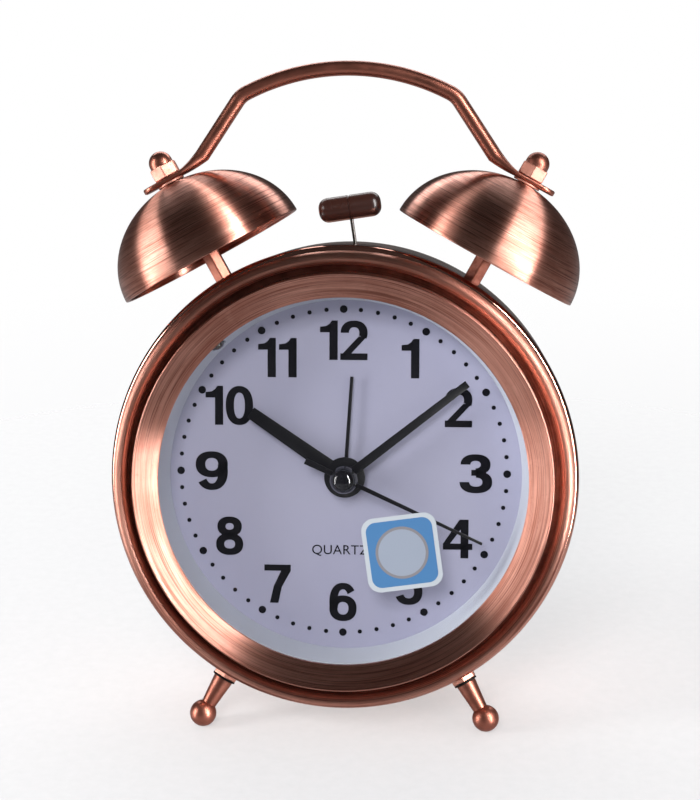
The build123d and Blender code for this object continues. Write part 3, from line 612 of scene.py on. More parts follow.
def makeBezel():
    bm = bmesh.new()
    outer, front, skirt, seat = bezel["outer"], bezel["front"], bezel["skirt"], bezel["lensSeat"]
    drawProfile(bm, [
        (outer, bezel["rear"]), (outer, front + 0.2, 0.3, 4),
        (outer - 0.35, front, 0.2, 3), (outer - 0.85, front + 0.35, 0.3, 3),
        (bezel["opening"], bezel["mouth"], 0.25, 3), (bezel["opening"], seat),
        (skirt - 0.2, seat), (skirt, seat + 0.2), (skirt, bezel["rear"])])
    spinRound(bm, "Y", 192)
    material = brushedCopper("copperBezel", dialFrame, settled(*bezel["grooveShade"]), fineness=3200.0,
                             rough=0.33, stretch=0.95, amount=0.5)
    makePiece("bezel", bm, Matrix.Identity(4), material, "bezel", 50)


makeDrum()
makeRing()
makeBezel()
print("drum, ring and bezel made")

# bells, posts, nuts and handle

sides = {"Left": -1, "Right": 1}
bell = {"radius": 24.9, "height": 21.2, "sheet": 1.0, "rim": 0.28}
washer = {"radius": 3.6, "thick": 0.5, "easing": 0.12}
post = {"across": 4.3, "low": -8.6, "top": 20.0, "easing": 0.22}
nut = {"across": 6.6, "hexHeight": 3.2, "easing": 0.28, "dome": 3.05, "collar": 0.7, "sunk": 0.4}


def makeBell(name):
    side = sides[name]
    bm = bmesh.new()
    start = bm.verts.new((bell["radius"], 0, 0))
    bmesh.ops.spin(bm, geom=[start], cent=(0, 0, 0), axis=(0, -1, 0), angle=math.pi / 2, steps=40)
    bmesh.ops.scale(bm, vec=(1, 1, bell["height"] / bell["radius"]), verts=bm.verts)
    spinRound(bm, "Z", 160)
    if sum(face.normal.z for face in bm.faces) < 0:
        bmesh.ops.reverse_faces(bm, faces=bm.faces)
    bmesh.ops.solidify(bm, geom=bm.faces[:], thickness=bell["sheet"])
    softenEdges(bm, bell["rim"], 50, 3)
    material = brushedCopper("copperBell" + name, inMetres(bellFrame(side)), depth=0.00001)
    makePiece("bell" + name, bm, bellFrame(side), material, "bell_" + name.lower(),
              60)


def hexPrism(bm, across, low, high, easing):
    # six sides with eased edges; across is between the flats
    corner = across / math.sqrt(3)
    made = bmesh.ops.create_cone(
        bm, cap_ends=True, segments=6, radius1=corner, radius2=corner, depth=high - low,
        matrix=Matrix.Translation((0, 0, (low + high) / 2)))
    easeEdges(bm, list({edge for vert in made["verts"] for edge in vert.link_edges}), easing)


def makePosts():
    material = polishedCopper("copperPost", dialFrame, ("mid", "dark"), 0.45, 0.9, 90.0)
    for name, side in sides.items():
        bm = bmesh.new()
        hexPrism(bm, post["across"], post["low"], post["top"], post["easing"])
        makePiece("post" + name, bm, bellFrame(side), material, "bell_post_" + name.lower(),
                  14)


def makeNuts():
    dark = polishedCopper("copperNut", dialFrame, ("mid", "dark"), 0.34, 1.0, 150.0)
    bright = polishedCopper("copperWasher", dialFrame, rough=0.52, amount=1.0, spread=150.0)
    seat = bell["height"] + washer["thick"] + handle["tabThick"]
    top = seat + nut["hexHeight"]
    for name, side in sides.items():
        bm = bmesh.new()
        # dome with a short collar, over a hexagon
        start = bm.verts.new((nut["dome"], 0, 0))
        bmesh.ops.spin(bm, geom=[start], cent=(0, 0, 0), axis=(0, -1, 0), angle=math.pi / 2,
                       steps=14)
        bmesh.ops.translate(bm, vec=(0, 0, top + nut["collar"]), verts=bm.verts)
        collar = bm.verts.new((nut["dome"], 0, top - nut["sunk"]))
        middle = bm.verts.new((0, 0, top - nut["sunk"]))
        bm.edges.new((start, collar))
        bm.edges.new((collar, middle))
        spinRound(bm, "Z", 48)
        hexPrism(bm, nut["across"], seat, top, nut["easing"])
        for face in bm.faces:
            face.material_index = int(face.calc_center_median().z < top + 0.01)
        makePiece("acornNut" + name, bm, bellFrame(side), [dark, bright], "acorn_nuts",
                  14)
        bm = bmesh.new()
        addDisc(bm, washer["radius"], bell["height"], bell["height"] + washer["thick"], 64)
        softenEdges(bm, washer["easing"])
        makePiece("bellWasher" + name, bm, bellFrame(side), bright, "bell_washers",
                  35)


handle = {
    "rod": 1.9, "top": 102.9, "arch": 57.0, "lean": 33.5, "foot": (38.2, 79.5), "bend": 6.4,
    "y": 19.0, "tabWidth": 3.4, "tabThick": 1.4, "tabSquare": 0.45,
    "tabStations": (7.4, 7.3, 7.05, 6.6, 5.9, 5.0, 4.0, 2.0, 0.0, -2.0, -3.6),
    "turnUp": -5.6, "closing": (0.2, 0.4, 0.6, 0.8, 1.0), "closed": 1.6,
}


def addRing(bm, centre, ahead, wide, thick, squareness):
    # one cross-section of the handle: wide runs along Y, thick across it
    made = bmesh.ops.create_circle(bm, segments=32, radius=1.0, cap_ends=False)["verts"]
    flat = ahead.cross(Vector((0, 1, 0))).normalized()
    for vert in made:
        across = math.copysign(abs(vert.co.x) ** squareness, vert.co.x)
        over = math.copysign(abs(vert.co.y) ** squareness, vert.co.y)
        vert.co = centre + Vector((0, 1, 0)) * across * wide + flat * over * thick
    return [edge for edge in bm.edges if edge.verts[0] in made and edge.verts[1] in made]


def makeHandle():
    bm = bmesh.new()
    lean = math.radians(handle["lean"])
    up = Vector((-math.sin(lean), 0, math.cos(lean)))
    inward = Vector((-math.cos(lean), 0, -math.sin(lean)))
    legEnd = Vector((handle["foot"][0], 0, handle["foot"][1]))
    archCentre = Vector((0, 0, handle["top"] - handle["arch"]))
    # the bend touches the leg and runs inside the arch
    start = legEnd + inward * handle["bend"] - archCentre
    along = start.dot(up)
    inside = handle["arch"] - handle["bend"]
    reach = math.sqrt(along ** 2 - start.dot(start) + inside ** 2) - along
    bendCentre = legEnd + up * reach + inward * handle["bend"]
    outward = (bendCentre - archCentre).normalized()
    bendAngle = up.angle(Vector((-outward.z, 0, outward.x)))
    archAngle = math.atan2(outward.x, outward.z)

    # the tab, from its round end inwards, then the run up into the rod
    tabFrame = Matrix.Translation((0, -handle["y"], 0)) @ bellFrame(1)
    outwards = (tabFrame.to_3x3() @ Vector((1, 0, 0))).normalized()
    width, half, square = handle["tabWidth"], handle["tabThick"] / 2, handle["tabSquare"]
    level = bell["height"] + washer["thick"] + half
    stations = handle["tabStations"]
    rings = []
    for spot in stations:
        bow = max(0.0, spot - (stations[0] - width)) / width
        wide = width * math.sqrt(max(0.01, 1 - bow ** 2))
        thick = half * (1.0 if spot < stations[1] else 0.75)
        centre = tabFrame @ Vector((spot, 0, level))
        rings.append(addRing(bm, centre, -outwards, wide, thick, square))
    first = tabFrame @ Vector((stations[-1], 0, level))
    corner = tabFrame @ Vector((handle["turnUp"], 0, level))
    last = legEnd + up * handle["closed"]
    for share in handle["closing"]:
        # the flattened end bends up and closes into the round rod
        spot = first.lerp(corner, 1 - (1 - share) ** 2).lerp(last, share ** 1.6)
        ahead = (-outwards).lerp(up, share).normalized()
        wide = width * 0.98 + (handle["rod"] - width * 0.98) * share ** 1.3
        thick = half + (handle["rod"] - half) * share ** 1.2
        rings.append(addRing(bm, spot, ahead, wide, thick, square + (1 - square) * share))
    for lower, upper in zip(rings, rings[1:]):
        bmesh.ops.bridge_loops(bm, edges=lower + upper)
    bmesh.ops.contextual_create(bm, geom=rings[0])
    # straight leg, bend, then half the arch; the other half is its mirror image
    leg = bmesh.ops.extrude_edge_only(bm, edges=rings[-1])["geom"]
    legVerts = vertsOf(leg)
    bmesh.ops.translate(bm, vec=up * (reach - handle["closed"]), verts=legVerts)
    last = [edge for edge in edgesOf(leg) if all(vert in legVerts for vert in edge.verts)]
    for centre, angle, steps in ((bendCentre, bendAngle, 16), (archCentre, archAngle, 44)):
        corners = list({vert for edge in last for vert in edge.verts})
        turned = bmesh.ops.spin(bm, geom=last + corners, cent=centre, axis=(0, -1, 0),
                                angle=angle, steps=steps)
        last = edgesOf(turned["geom_last"])
    bmesh.ops.mirror(bm, geom=bm.verts[:] + bm.edges[:] + bm.faces[:], axis="X", merge_dist=0.02)
    bmesh.ops.remove_doubles(bm, verts=bm.verts, dist=0.001)
    bmesh.ops.recalc_face_normals(bm, faces=bm.faces)
    material = polishedCopper("copperHandle", inMetres(Matrix.Identity(4)), ("mid", "dark"), 0.33,
                              0.6, 90.0, worn=0.0, specks=0.05)
    makePiece("handle", bm, Matrix.Translation((0, handle["y"], 0)), material, "handle",
              60)


# feet

foot = {
    "ball": 3.4, "length": 13.0, "top": 2.75, "neck": 1.9, "nutLow": -1.2, "nutHeight": 2.3,
    "nutAcross": 6.0, "nutEasing": 0.3, "washer": 0.5, "washerRadius": 3.1,
}


def makeFeet():
    dark = polishedCopper("copperFoot", dialFrame, ("mid", "dark"), 0.36, 0.7, 120.0)
    pink = polishedCopper("copperFootNut", dialFrame, rough=0.42, amount=0.6, spread=150.0)
    black = plainMetal("blackWasher", (0.03, 0.025, 0.022), (0.02, 0.02, 0.02), 0.6)
    level = foot["nutHeight"] + foot["washer"]
    for name, side in sides.items():
        bm = bmesh.new()
        # the ball from its pole to the neck, turned over, then the leg's taper
        start = bm.verts.new((0, 0, -foot["ball"]))
        angle = math.pi - math.asin(foot["neck"] / foot["ball"])
        arc = bmesh.ops.spin(bm, geom=[start], cent=(0, 0, 0), axis=(0, 1, 0), angle=-angle,
                             steps=22)
        neck = vertsOf(arc["geom_last"])[0]
        bmesh.ops.scale(bm, vec=(1, 1, -1), verts=bm.verts)
        bmesh.ops.translate(bm, vec=(0, 0, foot["length"]), verts=bm.verts)
        for vert in bm.verts:
            vert.co.x = abs(vert.co.x)
        verts = drawLine(bm, [
            (foot["neck"] + 0.05, 0, neck.co.z - 0.5), (foot["top"] - 0.15, 0, level + 0.15),
            (foot["top"] - 0.35, 0, level), (0, 0, level)])
        bm.edges.new((neck, verts[0]))
        spinRound(bm, "Z", 64)
        makePiece("foot" + name, bm, footFrame(side), dark, "foot_" + name.lower(),
                  45)
        bm = bmesh.new()
        hexPrism(bm, foot["nutAcross"], foot["nutLow"], foot["nutHeight"], foot["nutEasing"])
        makePiece("footNut" + name, bm, footFrame(side), pink, "foot_nuts", 14)
        bm = bmesh.new()
        addDisc(bm, foot["washerRadius"], foot["nutHeight"], level, 48)
        softenEdges(bm, washer["easing"])
        makePiece("footWasher" + name, bm, footFrame(side), black, "foot_washers",
                  35)


# hammer

hammer = {
    "pivot": (4.4, 14.5, 44.0), "headFrom": (-3.6, 24.0), "length": 15.8, "radius": 3.1,
    "round": 2.4, "groove": 0.2, "wire": 0.45, "wireFrom": 1.8, "wireInHead": 0.5,
}


def makeHammer():
    across, rise = hammer["headFrom"]
    arm = math.hypot(across, rise)
    lean = math.degrees(math.atan2(across, rise))
    hammerFrame = Matrix.Translation(hammer["pivot"]) @ turnAbout("Y", lean)
    headFrame = hammerFrame @ Matrix.Translation((0, 0, arm)) @ turnAbout("Y", 90)
    half, radius, rounding = hammer["length"] / 2, hammer["radius"], hammer["round"]
    groove = radius - hammer["groove"]
    bm = bmesh.new()
    # half the profile: a thin parting groove at the middle, then the domed end
    verts = drawLine(bm, [(groove, 0, 0.0), (groove, 0, 0.12), (radius, 0, 0.28),
                          (radius, 0, half - rounding)])
    arc = bmesh.ops.spin(bm, geom=[verts[-1]], cent=(radius - rounding, 0, half - rounding),
                         axis=(0, -1, 0), angle=math.pi / 2, steps=10)
    end = vertsOf(arc["geom_last"])[0]
    bm.edges.new((end, bm.verts.new((0, 0, end.co.z))))
    bmesh.ops.mirror(bm, geom=bm.verts[:] + bm.edges[:], axis="Z", merge_dist=0.001)
    spinRound(bm, "Z", 64)
    brown = mouldedPlastic("hammerPlastic", (0.060, 0.019, 0.012), (0.036, 0.011, 0.008),
                           2500.0, 0.30, 0.00002)
    makePiece("hammerHead", bm, headFrame, brown, "hammer_head", 50)
    bm = bmesh.new()
    addDisc(bm, hammer["wire"], hammer["wireFrom"], arm + hammer["wireInHead"], 24)
    steel = plainMetal("wireSteel", (0.10, 0.09, 0.085), (0.04, 0.035, 0.03))
    makePiece("hammerWire", bm, hammerFrame, steel, "hammer_stem", 50)


makeBell("Left")
makeBell("Right")
makePosts()
makeNuts()
makeHandle()
makeFeet()
makeHammer()
print("bells, handle, feet and hammer made")

# dial with its print

dial = {
    "face": 11.0, "hole": 2.9, "radius": 50.0, "thick": 0.8, "centre": (-0.5, 0.9),
    "dotCircle": 41.6, "bigDot": 0.98, "smallDot": 0.55, "numberCircle": 33.7,
    "numberHeight": 10.0, "wideHours": (3, 9), "wider": 1.18, "printDepth": 0.05,
    "stroke": 0.21, "cap": 0.17, "squareness": 0.88, "wordAt": (-1.3, -19.4), "wordHeight": 2.9,
}


def atClock(radius, angle):
    turn = math.radians(angle)
    x, z = dial["centre"]
    return x + radius * math.sin(turn), z + radius * math.cos(turn)


def addWord(bm, word, x, z, height):
    # flat lettering with the font's outlines, standing on the dial
    curve = bpy.data.curves.new("letters", "FONT")
    curve.body = word
    curve.align_x = "CENTER"
    curve.align_y = "CENTER"
    curve.size = height * 1.37
    curve.space_character = 1.04
    curve.extrude = dial["printDepth"] / 2
    curve.resolution_u = 8
    text = bpy.data.objects.new("letters", curve)
    scene.collection.objects.link(text)
    bpy.context.view_layer.update()
    mesh = bpy.data.meshes.new_from_object(text)
    across = [vert.co.x for vert in mesh.vertices]
    upwards = [vert.co.y for vert in mesh.vertices]
    middle = (-(min(across) + max(across)) / 2, -(min(upwards) + max(upwards)) / 2, 0)
    scale = height / (max(upwards) - min(upwards))
    centred = Matrix.Scale(scale, 4) @ Matrix.Translation(middle)
    spot = Matrix.Translation((x, dial["face"] - dial["printDepth"] / 2, z))
    mesh.transform(spot @ turnAbout("X", 90) @ centred)
    bm.from_mesh(mesh)
    bpy.data.objects.remove(text)


# each figure one unit high: ovals as (x, z, width, height, part kept), and straight bars by
# their corners
figures = {
    "0": ([(0, 0.5, 0.70, 1.0, None)], []),
    "1": ([], [[(0, 0), (0.21, 0), (0.21, 1), (0.06, 1), (0, 0.91)],
               [(-0.24, 0.70), (0.02, 0.70), (0.02, 0.93), (-0.08, 0.86), (-0.24, 0.84)]]),
    "2": ([(0, 0.69, 0.68, 0.62, lambda x, z: z > 0.69 or (x > 0 and z > 0.59))],
          [[(-0.35, 0.10), (-0.07, 0.17), (0.325, 0.60), (0.115, 0.60)],
           [(-0.35, 0), (0.34, 0), (0.34, 0.17), (-0.35, 0.17)]]),
    "3": ([(-0.01, 0.735, 0.64, 0.53, lambda x, z: x > 0 or z > 0.735),
           (0, 0.285, 0.70, 0.57, lambda x, z: x > 0 or z < 0.285)],
          [[(-0.10, 0.45), (0.08, 0.45), (0.08, 0.60), (-0.10, 0.60)]]),
    "4": ([], [[(0.08, 0), (0.28, 0), (0.28, 1), (0.08, 1)],
               [(-0.37, 0.22), (0.38, 0.22), (0.38, 0.38), (-0.37, 0.38)],
               [(-0.37, 0.37), (-0.19, 0.37), (0.09, 0.76), (0.09, 1.0), (0.05, 1.0)]]),
    "5": ([(0, 0.335, 0.70, 0.67, lambda x, z: x > 0 or z < 0.235 or z > 0.52)],
          [[(-0.32, 0.46), (-0.12, 0.46), (-0.07, 0.86), (-0.26, 0.86)],
           [(-0.27, 0.83), (0.30, 0.83), (0.30, 1), (-0.25, 1)]]),
    "6": ([(0, 0.335, 0.70, 0.67, None),
           (0, 0.5, 0.70, 1.0, lambda x, z: z > 0.76 or (x < 0 and z > 0.3))], []),
    "7": ([], [[(-0.34, 0.84), (0.34, 0.84), (0.34, 1), (-0.34, 1)],
               [(-0.20, 0), (0.02, 0), (0.11, 0.42), (0.34, 0.84), (0.10, 0.86), (-0.10, 0.44)]]),
    "8": ([(0, 0.745, 0.63, 0.51, None), (0, 0.285, 0.70, 0.57, None)], []),
    "9": ([(0, 0.665, 0.70, 0.67, None),
           (0, 0.5, 0.70, 1.0, lambda x, z: z < 0.24 or (x > 0 and z < 0.7))], []),
}
figureRoom = {"1": (0.53, 0.02)}  # width of its place, and its shift in it
usualRoom = (0.76, 0.0)


def squared(number):
    return math.copysign(abs(number) ** dial["squareness"], number)


def addFigure(bm, figure, x, z, size, widen):
    # one bold figure standing on the dial, its lower edge at z
    new = bmesh.new()
    ovals, bars = figures[figure]
    for middleX, middleZ, wide, high, kept in ovals:
        loops = []
        inner = (wide / 2 - dial["stroke"], high / 2 - dial["cap"])
        for across, up in ((wide / 2, high / 2), inner):
            made = set(bmesh.ops.create_circle(new, segments=72, radius=1.0)["verts"])
            for vert in made:
                vert.co = (middleX + across * squared(vert.co.x), 0,
                           middleZ + up * squared(vert.co.y))
            loops += [edge for edge in new.edges if all(vert in made for vert in edge.verts)]
        oval = bmesh.ops.bridge_loops(new, edges=loops)["faces"]
        if kept:
            middles = {face: face.calc_center_median() for face in oval}
            gone = [face for face, middle in middles.items() if not kept(middle.x, middle.z)]
            bmesh.ops.delete(new, geom=gone, context="FACES")
    for corners in bars:
        new.faces.new([new.verts.new((cornerX, 0, cornerZ)) for cornerX, cornerZ in corners])
    bmesh.ops.recalc_face_normals(new, faces=new.faces)
    for face in new.faces:
        if face.normal.y > 0:
            face.normal_flip()
    grown = bmesh.ops.extrude_face_region(new, geom=new.faces[:], use_keep_orig=True)["geom"]
    bmesh.ops.translate(new, vec=(0, -dial["printDepth"] / size, 0), verts=vertsOf(grown))
    bmesh.ops.recalc_face_normals(new, faces=new.faces)
    mesh = bpy.data.meshes.new("figure")
    new.to_mesh(mesh)
    new.free()
    spot = Matrix.Translation((x, dial["face"], z))
    mesh.transform(spot @ Matrix.Diagonal((size * widen, size, size, 1)))
    bm.from_mesh(mesh)
    bpy.data.meshes.remove(mesh)


def addNumber(bm, hour, x, z):
    words = str(hour)
    size = dial["numberHeight"]
    widen = dial["wider"] if hour in dial["wideHours"] else 1.0
    places = [figureRoom.get(figure, usualRoom) for figure in words]
    at = x - sum(width for width, shift in places) * size / 2
    for figure, (width, shift) in zip(words, places):
        addFigure(bm, figure, at + (width / 2 + shift) * size, z - size / 2, size, widen)
        at += width * size


def dialLacquer():
    material, tree, shader = newMaterial("dialLacquer")
    place = placeOf(tree, dialFrame)
    cloud = noise(tree, place, 25.0, 2.0, 0.5)
    paper = noise(tree, place, 2200.0)
    tone = blend(tree, ramp(tree, cloud, 0.3, 0.7), (0.51, 0.51, 0.66, 1), (0.46, 0.46, 0.62, 1))
    flecks = ramp(tree, paper, 0.3, 0.7, 0.0, 0.12)
    feed(tree, shader.inputs["Base Color"], blend(tree, flecks, tone, (0.62, 0.62, 0.76, 1)))
    feed(tree, shader.inputs["Roughness"], ramp(tree, paper, 0.3, 0.7, 0.42, 0.52))
    bump(tree, shader, paper, 0.00001, 0.3)
    return material


def makeDial():
    face, depth = dial["face"], dial["printDepth"]
    bm = bmesh.new()
    drawProfile(bm, [(dial["hole"], face), (dial["radius"], face),
                     (dial["radius"], face + dial["thick"]), (dial["hole"], face + dial["thick"])])
    spinRound(bm, "Y", 128)
    makePiece("dialPlate", bm, Matrix.Identity(4), dialLacquer(), "dial", 50)

    bm = bmesh.new()
    for hour in (12, *range(1, 12)):
        x, z = atClock(dial["numberCircle"], hour * 30)
        addNumber(bm, hour, x, z)
    addWord(bm, "QUARTZ", *dial["wordAt"], dial["wordHeight"])
    for minute in range(60):
        x, z = atClock(dial["dotCircle"], minute * 6)
        size = dial["bigDot"] if minute % 5 == 0 else dial["smallDot"]
        addDisc(bm, size, 0, depth, 28, Matrix.Translation((x, face, z)) @ turnAbout("X", 90))
    ink = mouldedPlastic("dialInk", (0.004, 0.004, 0.007), (0.007, 0.007, 0.011), 4000.0, 0.42,
                         0.00001, 0.2)
    makePiece("dialPrint", bm, Matrix.Identity(4), ink, None, 30, body="case")


# hands and the cap over them

hands = {
    "minute": {"angle": 51.8, "length": 39.2, "width": 2.4, "tip": 1.9, "y": 6.6, "hub": 3.0},
    "hour": {"angle": 304.4, "length": 28.9, "width": 4.0, "tip": 3.2, "y": 8.0, "hub": 5.2},
    "second": {"angle": 114.8, "length": 38.4, "width": 1.2, "tip": 0.7, "y": 5.2, "hub": 2.6,
               "tail": 10.8, "tailWidth": 1.6},
    "alarm": {"angle": 3.8, "length": 25.6, "width": 0.95, "tip": 0.85, "y": 9.5, "hub": 3.6},
}
handSheet = {"thick": 0.4, "easing": 0.09, "hubRise": 0.02, "hubEasing": 0.1}
cap = {"radius": 3.55, "middle": 4.4, "rear": 5.2}


def makeHand(name, material):
    # a stamped blade with a hub disc, its edges eased
    values = hands[name]
    bm = bmesh.new()
    low, high = values["y"], values["y"] + handSheet["thick"]
    blades = [(0.0, values["length"], values["width"], values["tip"])]
    if "tail" in values:
        blades.append((-values["tail"], 0.0, values["tailWidth"], values["width"]))
    for start, end, wideStart, wideEnd in blades:
        made = bmesh.ops.create_cube(bm, size=1.0)["verts"]
        for vert in made:
            outer = vert.co.z > 0
            vert.co.z = end if outer else start
            vert.co.x *= wideEnd if outer else wideStart
            vert.co.y = high if vert.co.y > 0 else low
        edges = list({edge for vert in made for edge in vert.link_edges})
        easeEdges(bm, edges, handSheet["easing"])
    rise = handSheet["hubRise"]
    hub = addDisc(bm, values["hub"], -high - rise, -low + rise, 56, turnAbout("X", 90))
    rim = [edge for edge in {edge for vert in hub for edge in vert.link_edges}
           if edge.calc_face_angle() > 0.8]
    easeEdges(bm, rim, handSheet["hubEasing"])
    makePiece(name + "Hand", bm, turnAbout("Y", values["angle"]), material, name + "_hand",
              35)


def makeCap():
    bm = bmesh.new()
    bmesh.ops.create_uvsphere(bm, u_segments=64, v_segments=40, radius=cap["radius"])
    bmesh.ops.translate(bm, vec=(0, cap["middle"], 0), verts=bm.verts)
    cut = bmesh.ops.bisect_plane(bm, geom=bm.verts[:] + bm.edges[:] + bm.faces[:],
                                 plane_co=(0, cap["rear"], 0), plane_no=(0, 1, 0),
                                 clear_outer=True)
    bmesh.ops.contextual_create(bm, geom=edgesOf(cut["geom_cut"]))
    bmesh.ops.recalc_face_normals(bm, faces=bm.faces)
    gloss = mouldedPlastic("capGloss", (0.008, 0.008, 0.010), (0.013, 0.013, 0.016), 900.0, 0.09,
                           0.000004)
    makePiece("handCap", bm, Matrix.Identity(4), gloss, "hand_cap", 50)


makeDial()
lacquer = mouldedPlastic("handLacquer", (0.006, 0.006, 0.008), (0.010, 0.010, 0.013), 2600.0,
                         0.34, 0.00001)
for handName in hands:
    makeHand(handName, lacquer)
makeCap()
print("dial and hands made")

# lens, wall and label

lens = {"radius": 51.2, "front": -0.7, "rear": 0.5, "alpha": 0.06, "rough": 0.02}


def clearMaterial():
    material, tree, shader = newMaterial("clearLens")
    smear = noise(tree, placeOf(tree, dialFrame), 70.0, 4.0, 0.6)
    tone = blend(tree, ramp(tree, smear, 0.3, 0.7), (0.018, 0.018, 0.022, 1),
                 (0.028, 0.028, 0.034, 1))
    feed(tree, shader.inputs["Base Color"], tone)
    smeared = ramp(tree, smear, 0.3, 0.7, lens["rough"], lens["rough"] + 0.05)
    feed(tree, shader.inputs["Roughness"], smeared)
    shader.inputs["Alpha"].default_value = lens["alpha"]
    return material


def makeFront():
    bm = bmesh.new()
    drawProfile(bm, [(0, lens["front"]), (lens["radius"], lens["front"]),
                     (lens["radius"], lens["rear"]), (0, lens["rear"])], closed=False)
    spinRound(bm, "Y", 128)
    makePiece("lensPane", bm, Matrix.Identity(4), clearMaterial(), "lens", 50)
    white = mouldedPlastic("whiteWall", (0.66, 0.70, 0.76), (0.60, 0.64, 0.71), 3000.0, 0.4,
                           0.00002)
    smoothCopy("dial_wall", "dialWall", white, "white_plastic", 0.12)


label = {
    "at": (14.9, -0.7, -17.3), "turn": -8,
    "tones": {
        "White": ((0.60, 0.65, 0.69), (0.55, 0.60, 0.65)),
        "Blue": ((0.085, 0.25, 0.50), (0.07, 0.21, 0.45)),
        "Pale": ((0.38, 0.43, 0.52), (0.33, 0.38, 0.47)),
        "Grey": ((0.30, 0.29, 0.31), (0.24, 0.23, 0.25)),
    },
    # tone, shape, half its size, corner radius, and its two heights over the lens
    "layers": [("White", "square", 9.4, 3.2, 0.0, 0.12), ("Blue", "square", 8.3, 2.5, 0.12, 0.14),
               ("Grey", "disc", 6.6, 0, 0.14, 0.16), ("Pale", "disc", 5.9, 0, 0.16, 0.18)],
}


def makeLabel():
    # a film label on the lens: white edge, blue field, ring and pale disc, with no print
    turn = turnAbout("Y", label["turn"]) @ turnAbout("X", 90)
    films = {name: mouldedPlastic("labelFilm" + name, tone, shade, 3000.0, 0.35, 0.00001)
             for name, (tone, shade) in label["tones"].items()}
    bm = bmesh.new()
    for name, kind, half, corner, low, high in label["layers"]:
        if kind == "disc":
            made = addDisc(bm, half, low, high, 72)
        else:
            made = bmesh.ops.create_cube(bm, size=1.0)["verts"]
            bmesh.ops.scale(bm, vec=(2 * half, 2 * half, high - low), verts=made)
            bmesh.ops.translate(bm, vec=(0, 0, (low + high) / 2), verts=made)
            upright = [edge for edge in {edge for vert in made for edge in vert.link_edges}
                       if abs(edge.verts[0].co.z - edge.verts[1].co.z) > 0.01]
            rounded = bmesh.ops.bevel(bm, geom=upright, offset=corner, affect="EDGES",
                                      segments=10, profile=0.5, material=-1)
            made = rounded["verts"] + made
        alive = {vert for vert in made if vert.is_valid}
        for face in {face for vert in alive for face in vert.link_faces}:
            face.material_index = list(films).index(name)
    makePiece("lensLabel", bm, Matrix.Translation(label["at"]) @ turn, list(films.values()),
              "lens_sticker", 30)


makeFront()
makeLabel()
print("front made")

# every CAD solid that still shows gets its finish

cells = {"bandFrom": 0.010, "bandEdge": 0.0003, "band": (0.42, 0.20, 0.07, 1)}


def cellJacket():
    # a dark jacket with a copper band at one end
    material = mouldedPlastic("cellJacket", (0.03, 0.10, 0.06), (0.05, 0.14, 0.09), 2000.0, 0.3,
                              0.00001)
    tree = material.node_tree
    base = tree.nodes["Principled BSDF"].inputs["Base Color"]
    plain = base.links[0].from_socket
    across = splitUp(tree, addNode(tree, "TexCoord").outputs["Object"])["X"]
    banded = ramp(tree, across, cells["bandFrom"], cells["bandFrom"] + cells["bandEdge"])
    feed(tree, base, blend(tree, banded, plain, cells["band"]))
    return material


black = mouldedPlastic("blackPlastic", (0.020, 0.020, 0.022), (0.032, 0.032, 0.034), rough=0.5,
                       depth=0.00005)
grey = mouldedPlastic("greyPlastic", (0.22, 0.22, 0.24), (0.28, 0.28, 0.30))
natural = mouldedPlastic("naturalPlastic", (0.72, 0.71, 0.67), (0.64, 0.63, 0.60), rough=0.4,
                         depth=0.00002)
resin = mouldedPlastic("lampResin", (0.16, 0.14, 0.12), (0.11, 0.10, 0.09), 900.0, 0.15, 0.00001)
board = mouldedPlastic("boardMask", (0.02, 0.11, 0.05), (0.03, 0.15, 0.07), 1500.0, 0.35, 0.00002)
steel = plainMetal("plainSteel", (0.55, 0.55, 0.56), (0.34, 0.34, 0.35), 0.28)
brass = plainMetal("plainBrass", (0.66, 0.48, 0.22), (0.42, 0.28, 0.12))
winding = plainMetal("windingWire", (0.62, 0.22, 0.10), (0.38, 0.12, 0.05), 0.35, 400.0)
magnet = plainMetal("sinteredMagnet", (0.20, 0.20, 0.21), (0.11, 0.11, 0.12), 0.45, 300.0)
jacket = cellJacket()

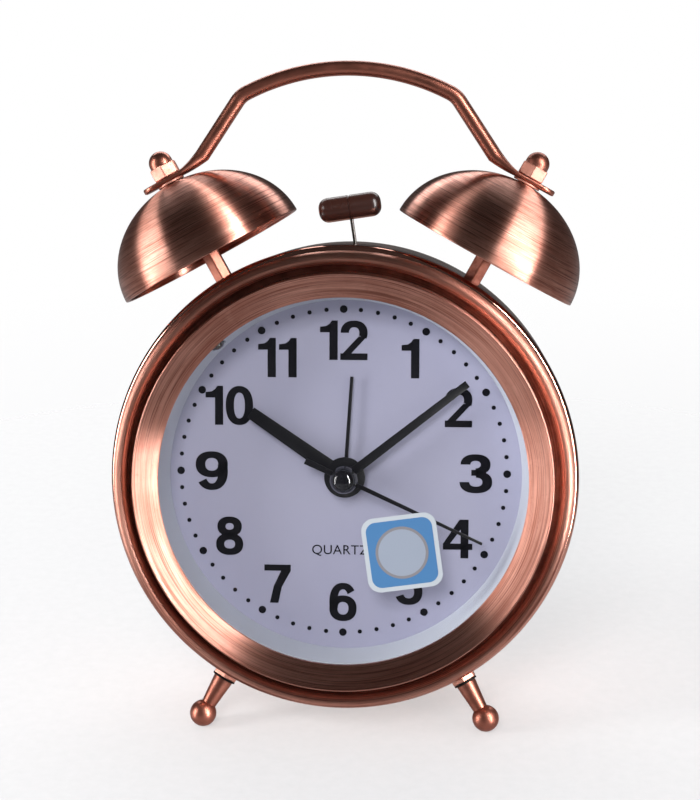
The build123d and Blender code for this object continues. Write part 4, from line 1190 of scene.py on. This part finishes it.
# pieces at the rear and the lamp: name, finish, slot and eased edges in millimetres
rearPieces = {
    "rear_cover": ("rearCover", black, "black_plastic", 0.25),
    "battery_door": ("batteryDoor", black, "black_plastic", 0.2),
    "time_set_knob": ("timeKnob", black, "black_plastic", 0.15),
    "alarm_set_knob": ("alarmKnob", black, "black_plastic", 0.15),
    "alarm_switch": ("alarmSlider", grey, "grey_plastic", 0.2),
    "light_button": ("lightButton", grey, "grey_plastic", 0.15),
    "rear_cover_screws": ("coverScrews", steel, "steel", 0.1),
    "dial_lamp": ("dialLamp", resin, "lamp_resin", 0.0),
}
innerFinishes = [
    (steel, ("movement_screws", "battery_springs", "stator", "coil_core", "hammer_pivot_pin",
             "hammer_bracket", "hammer_coil_core", "second_wheel")),
    (brass, ("battery_contacts", "minute_arbor")), (winding, ("drive_coil", "hammer_coil")),
    (magnet, ("hammer_magnet",)), (jacket, ("battery_cell_upper", "battery_cell_lower")),
    (board, ("circuit_board",)), (black, ("lens_gasket", "case_pillars", "hammer_hub")),
]


def finishCadNodes():
    for node, values in rearPieces.items():
        smoothCopy(node, *values)
    finishOf = {node: finish for finish, names in innerFinishes for node in names}
    for node, made in frame["nodes"].items():
        if made.hide_render:
            continue
        for place in made.material_slots:
            place.material = finishOf.get(node, natural)


finishCadNodes()
print("cad pieces finished")

# the floor, pale paper that fades into the white background

floor = {"radius": 1.6, "fadeFrom": 0.12, "fadeTo": 0.45, "strength": 0.5}


def makeFloor():
    bm = bmesh.new()
    bmesh.ops.create_circle(bm, cap_ends=True, segments=96, radius=floor["radius"])
    mesh = bpy.data.meshes.new("floor")
    bm.to_mesh(mesh)
    bm.free()
    made = bpy.data.objects.new("floor", mesh)
    scene.collection.objects.link(made)
    material, tree, shader = newMaterial("floorPaper")
    place = addNode(tree, "TexCoord").outputs["Object"]
    fibres = ramp(tree, noise(tree, place, 300.0, 4.0, 0.6), 0.3, 0.7)
    tone = blend(tree, fibres, (0.88, 0.88, 0.89, 1), (0.84, 0.84, 0.85, 1))
    feed(tree, shader.inputs["Base Color"], tone)
    shader.inputs["Roughness"].default_value = 0.7
    distance = addNode(tree, "VectorMath", operation="LENGTH")
    tree.links.new(place, distance.inputs[0])
    fade = ramp(tree, distance.outputs["Value"], floor["fadeFrom"], floor["fadeTo"],
                floor["strength"], 0.0)
    feed(tree, shader.inputs["Alpha"], fade)
    mesh.materials.append(material)


makeFloor()
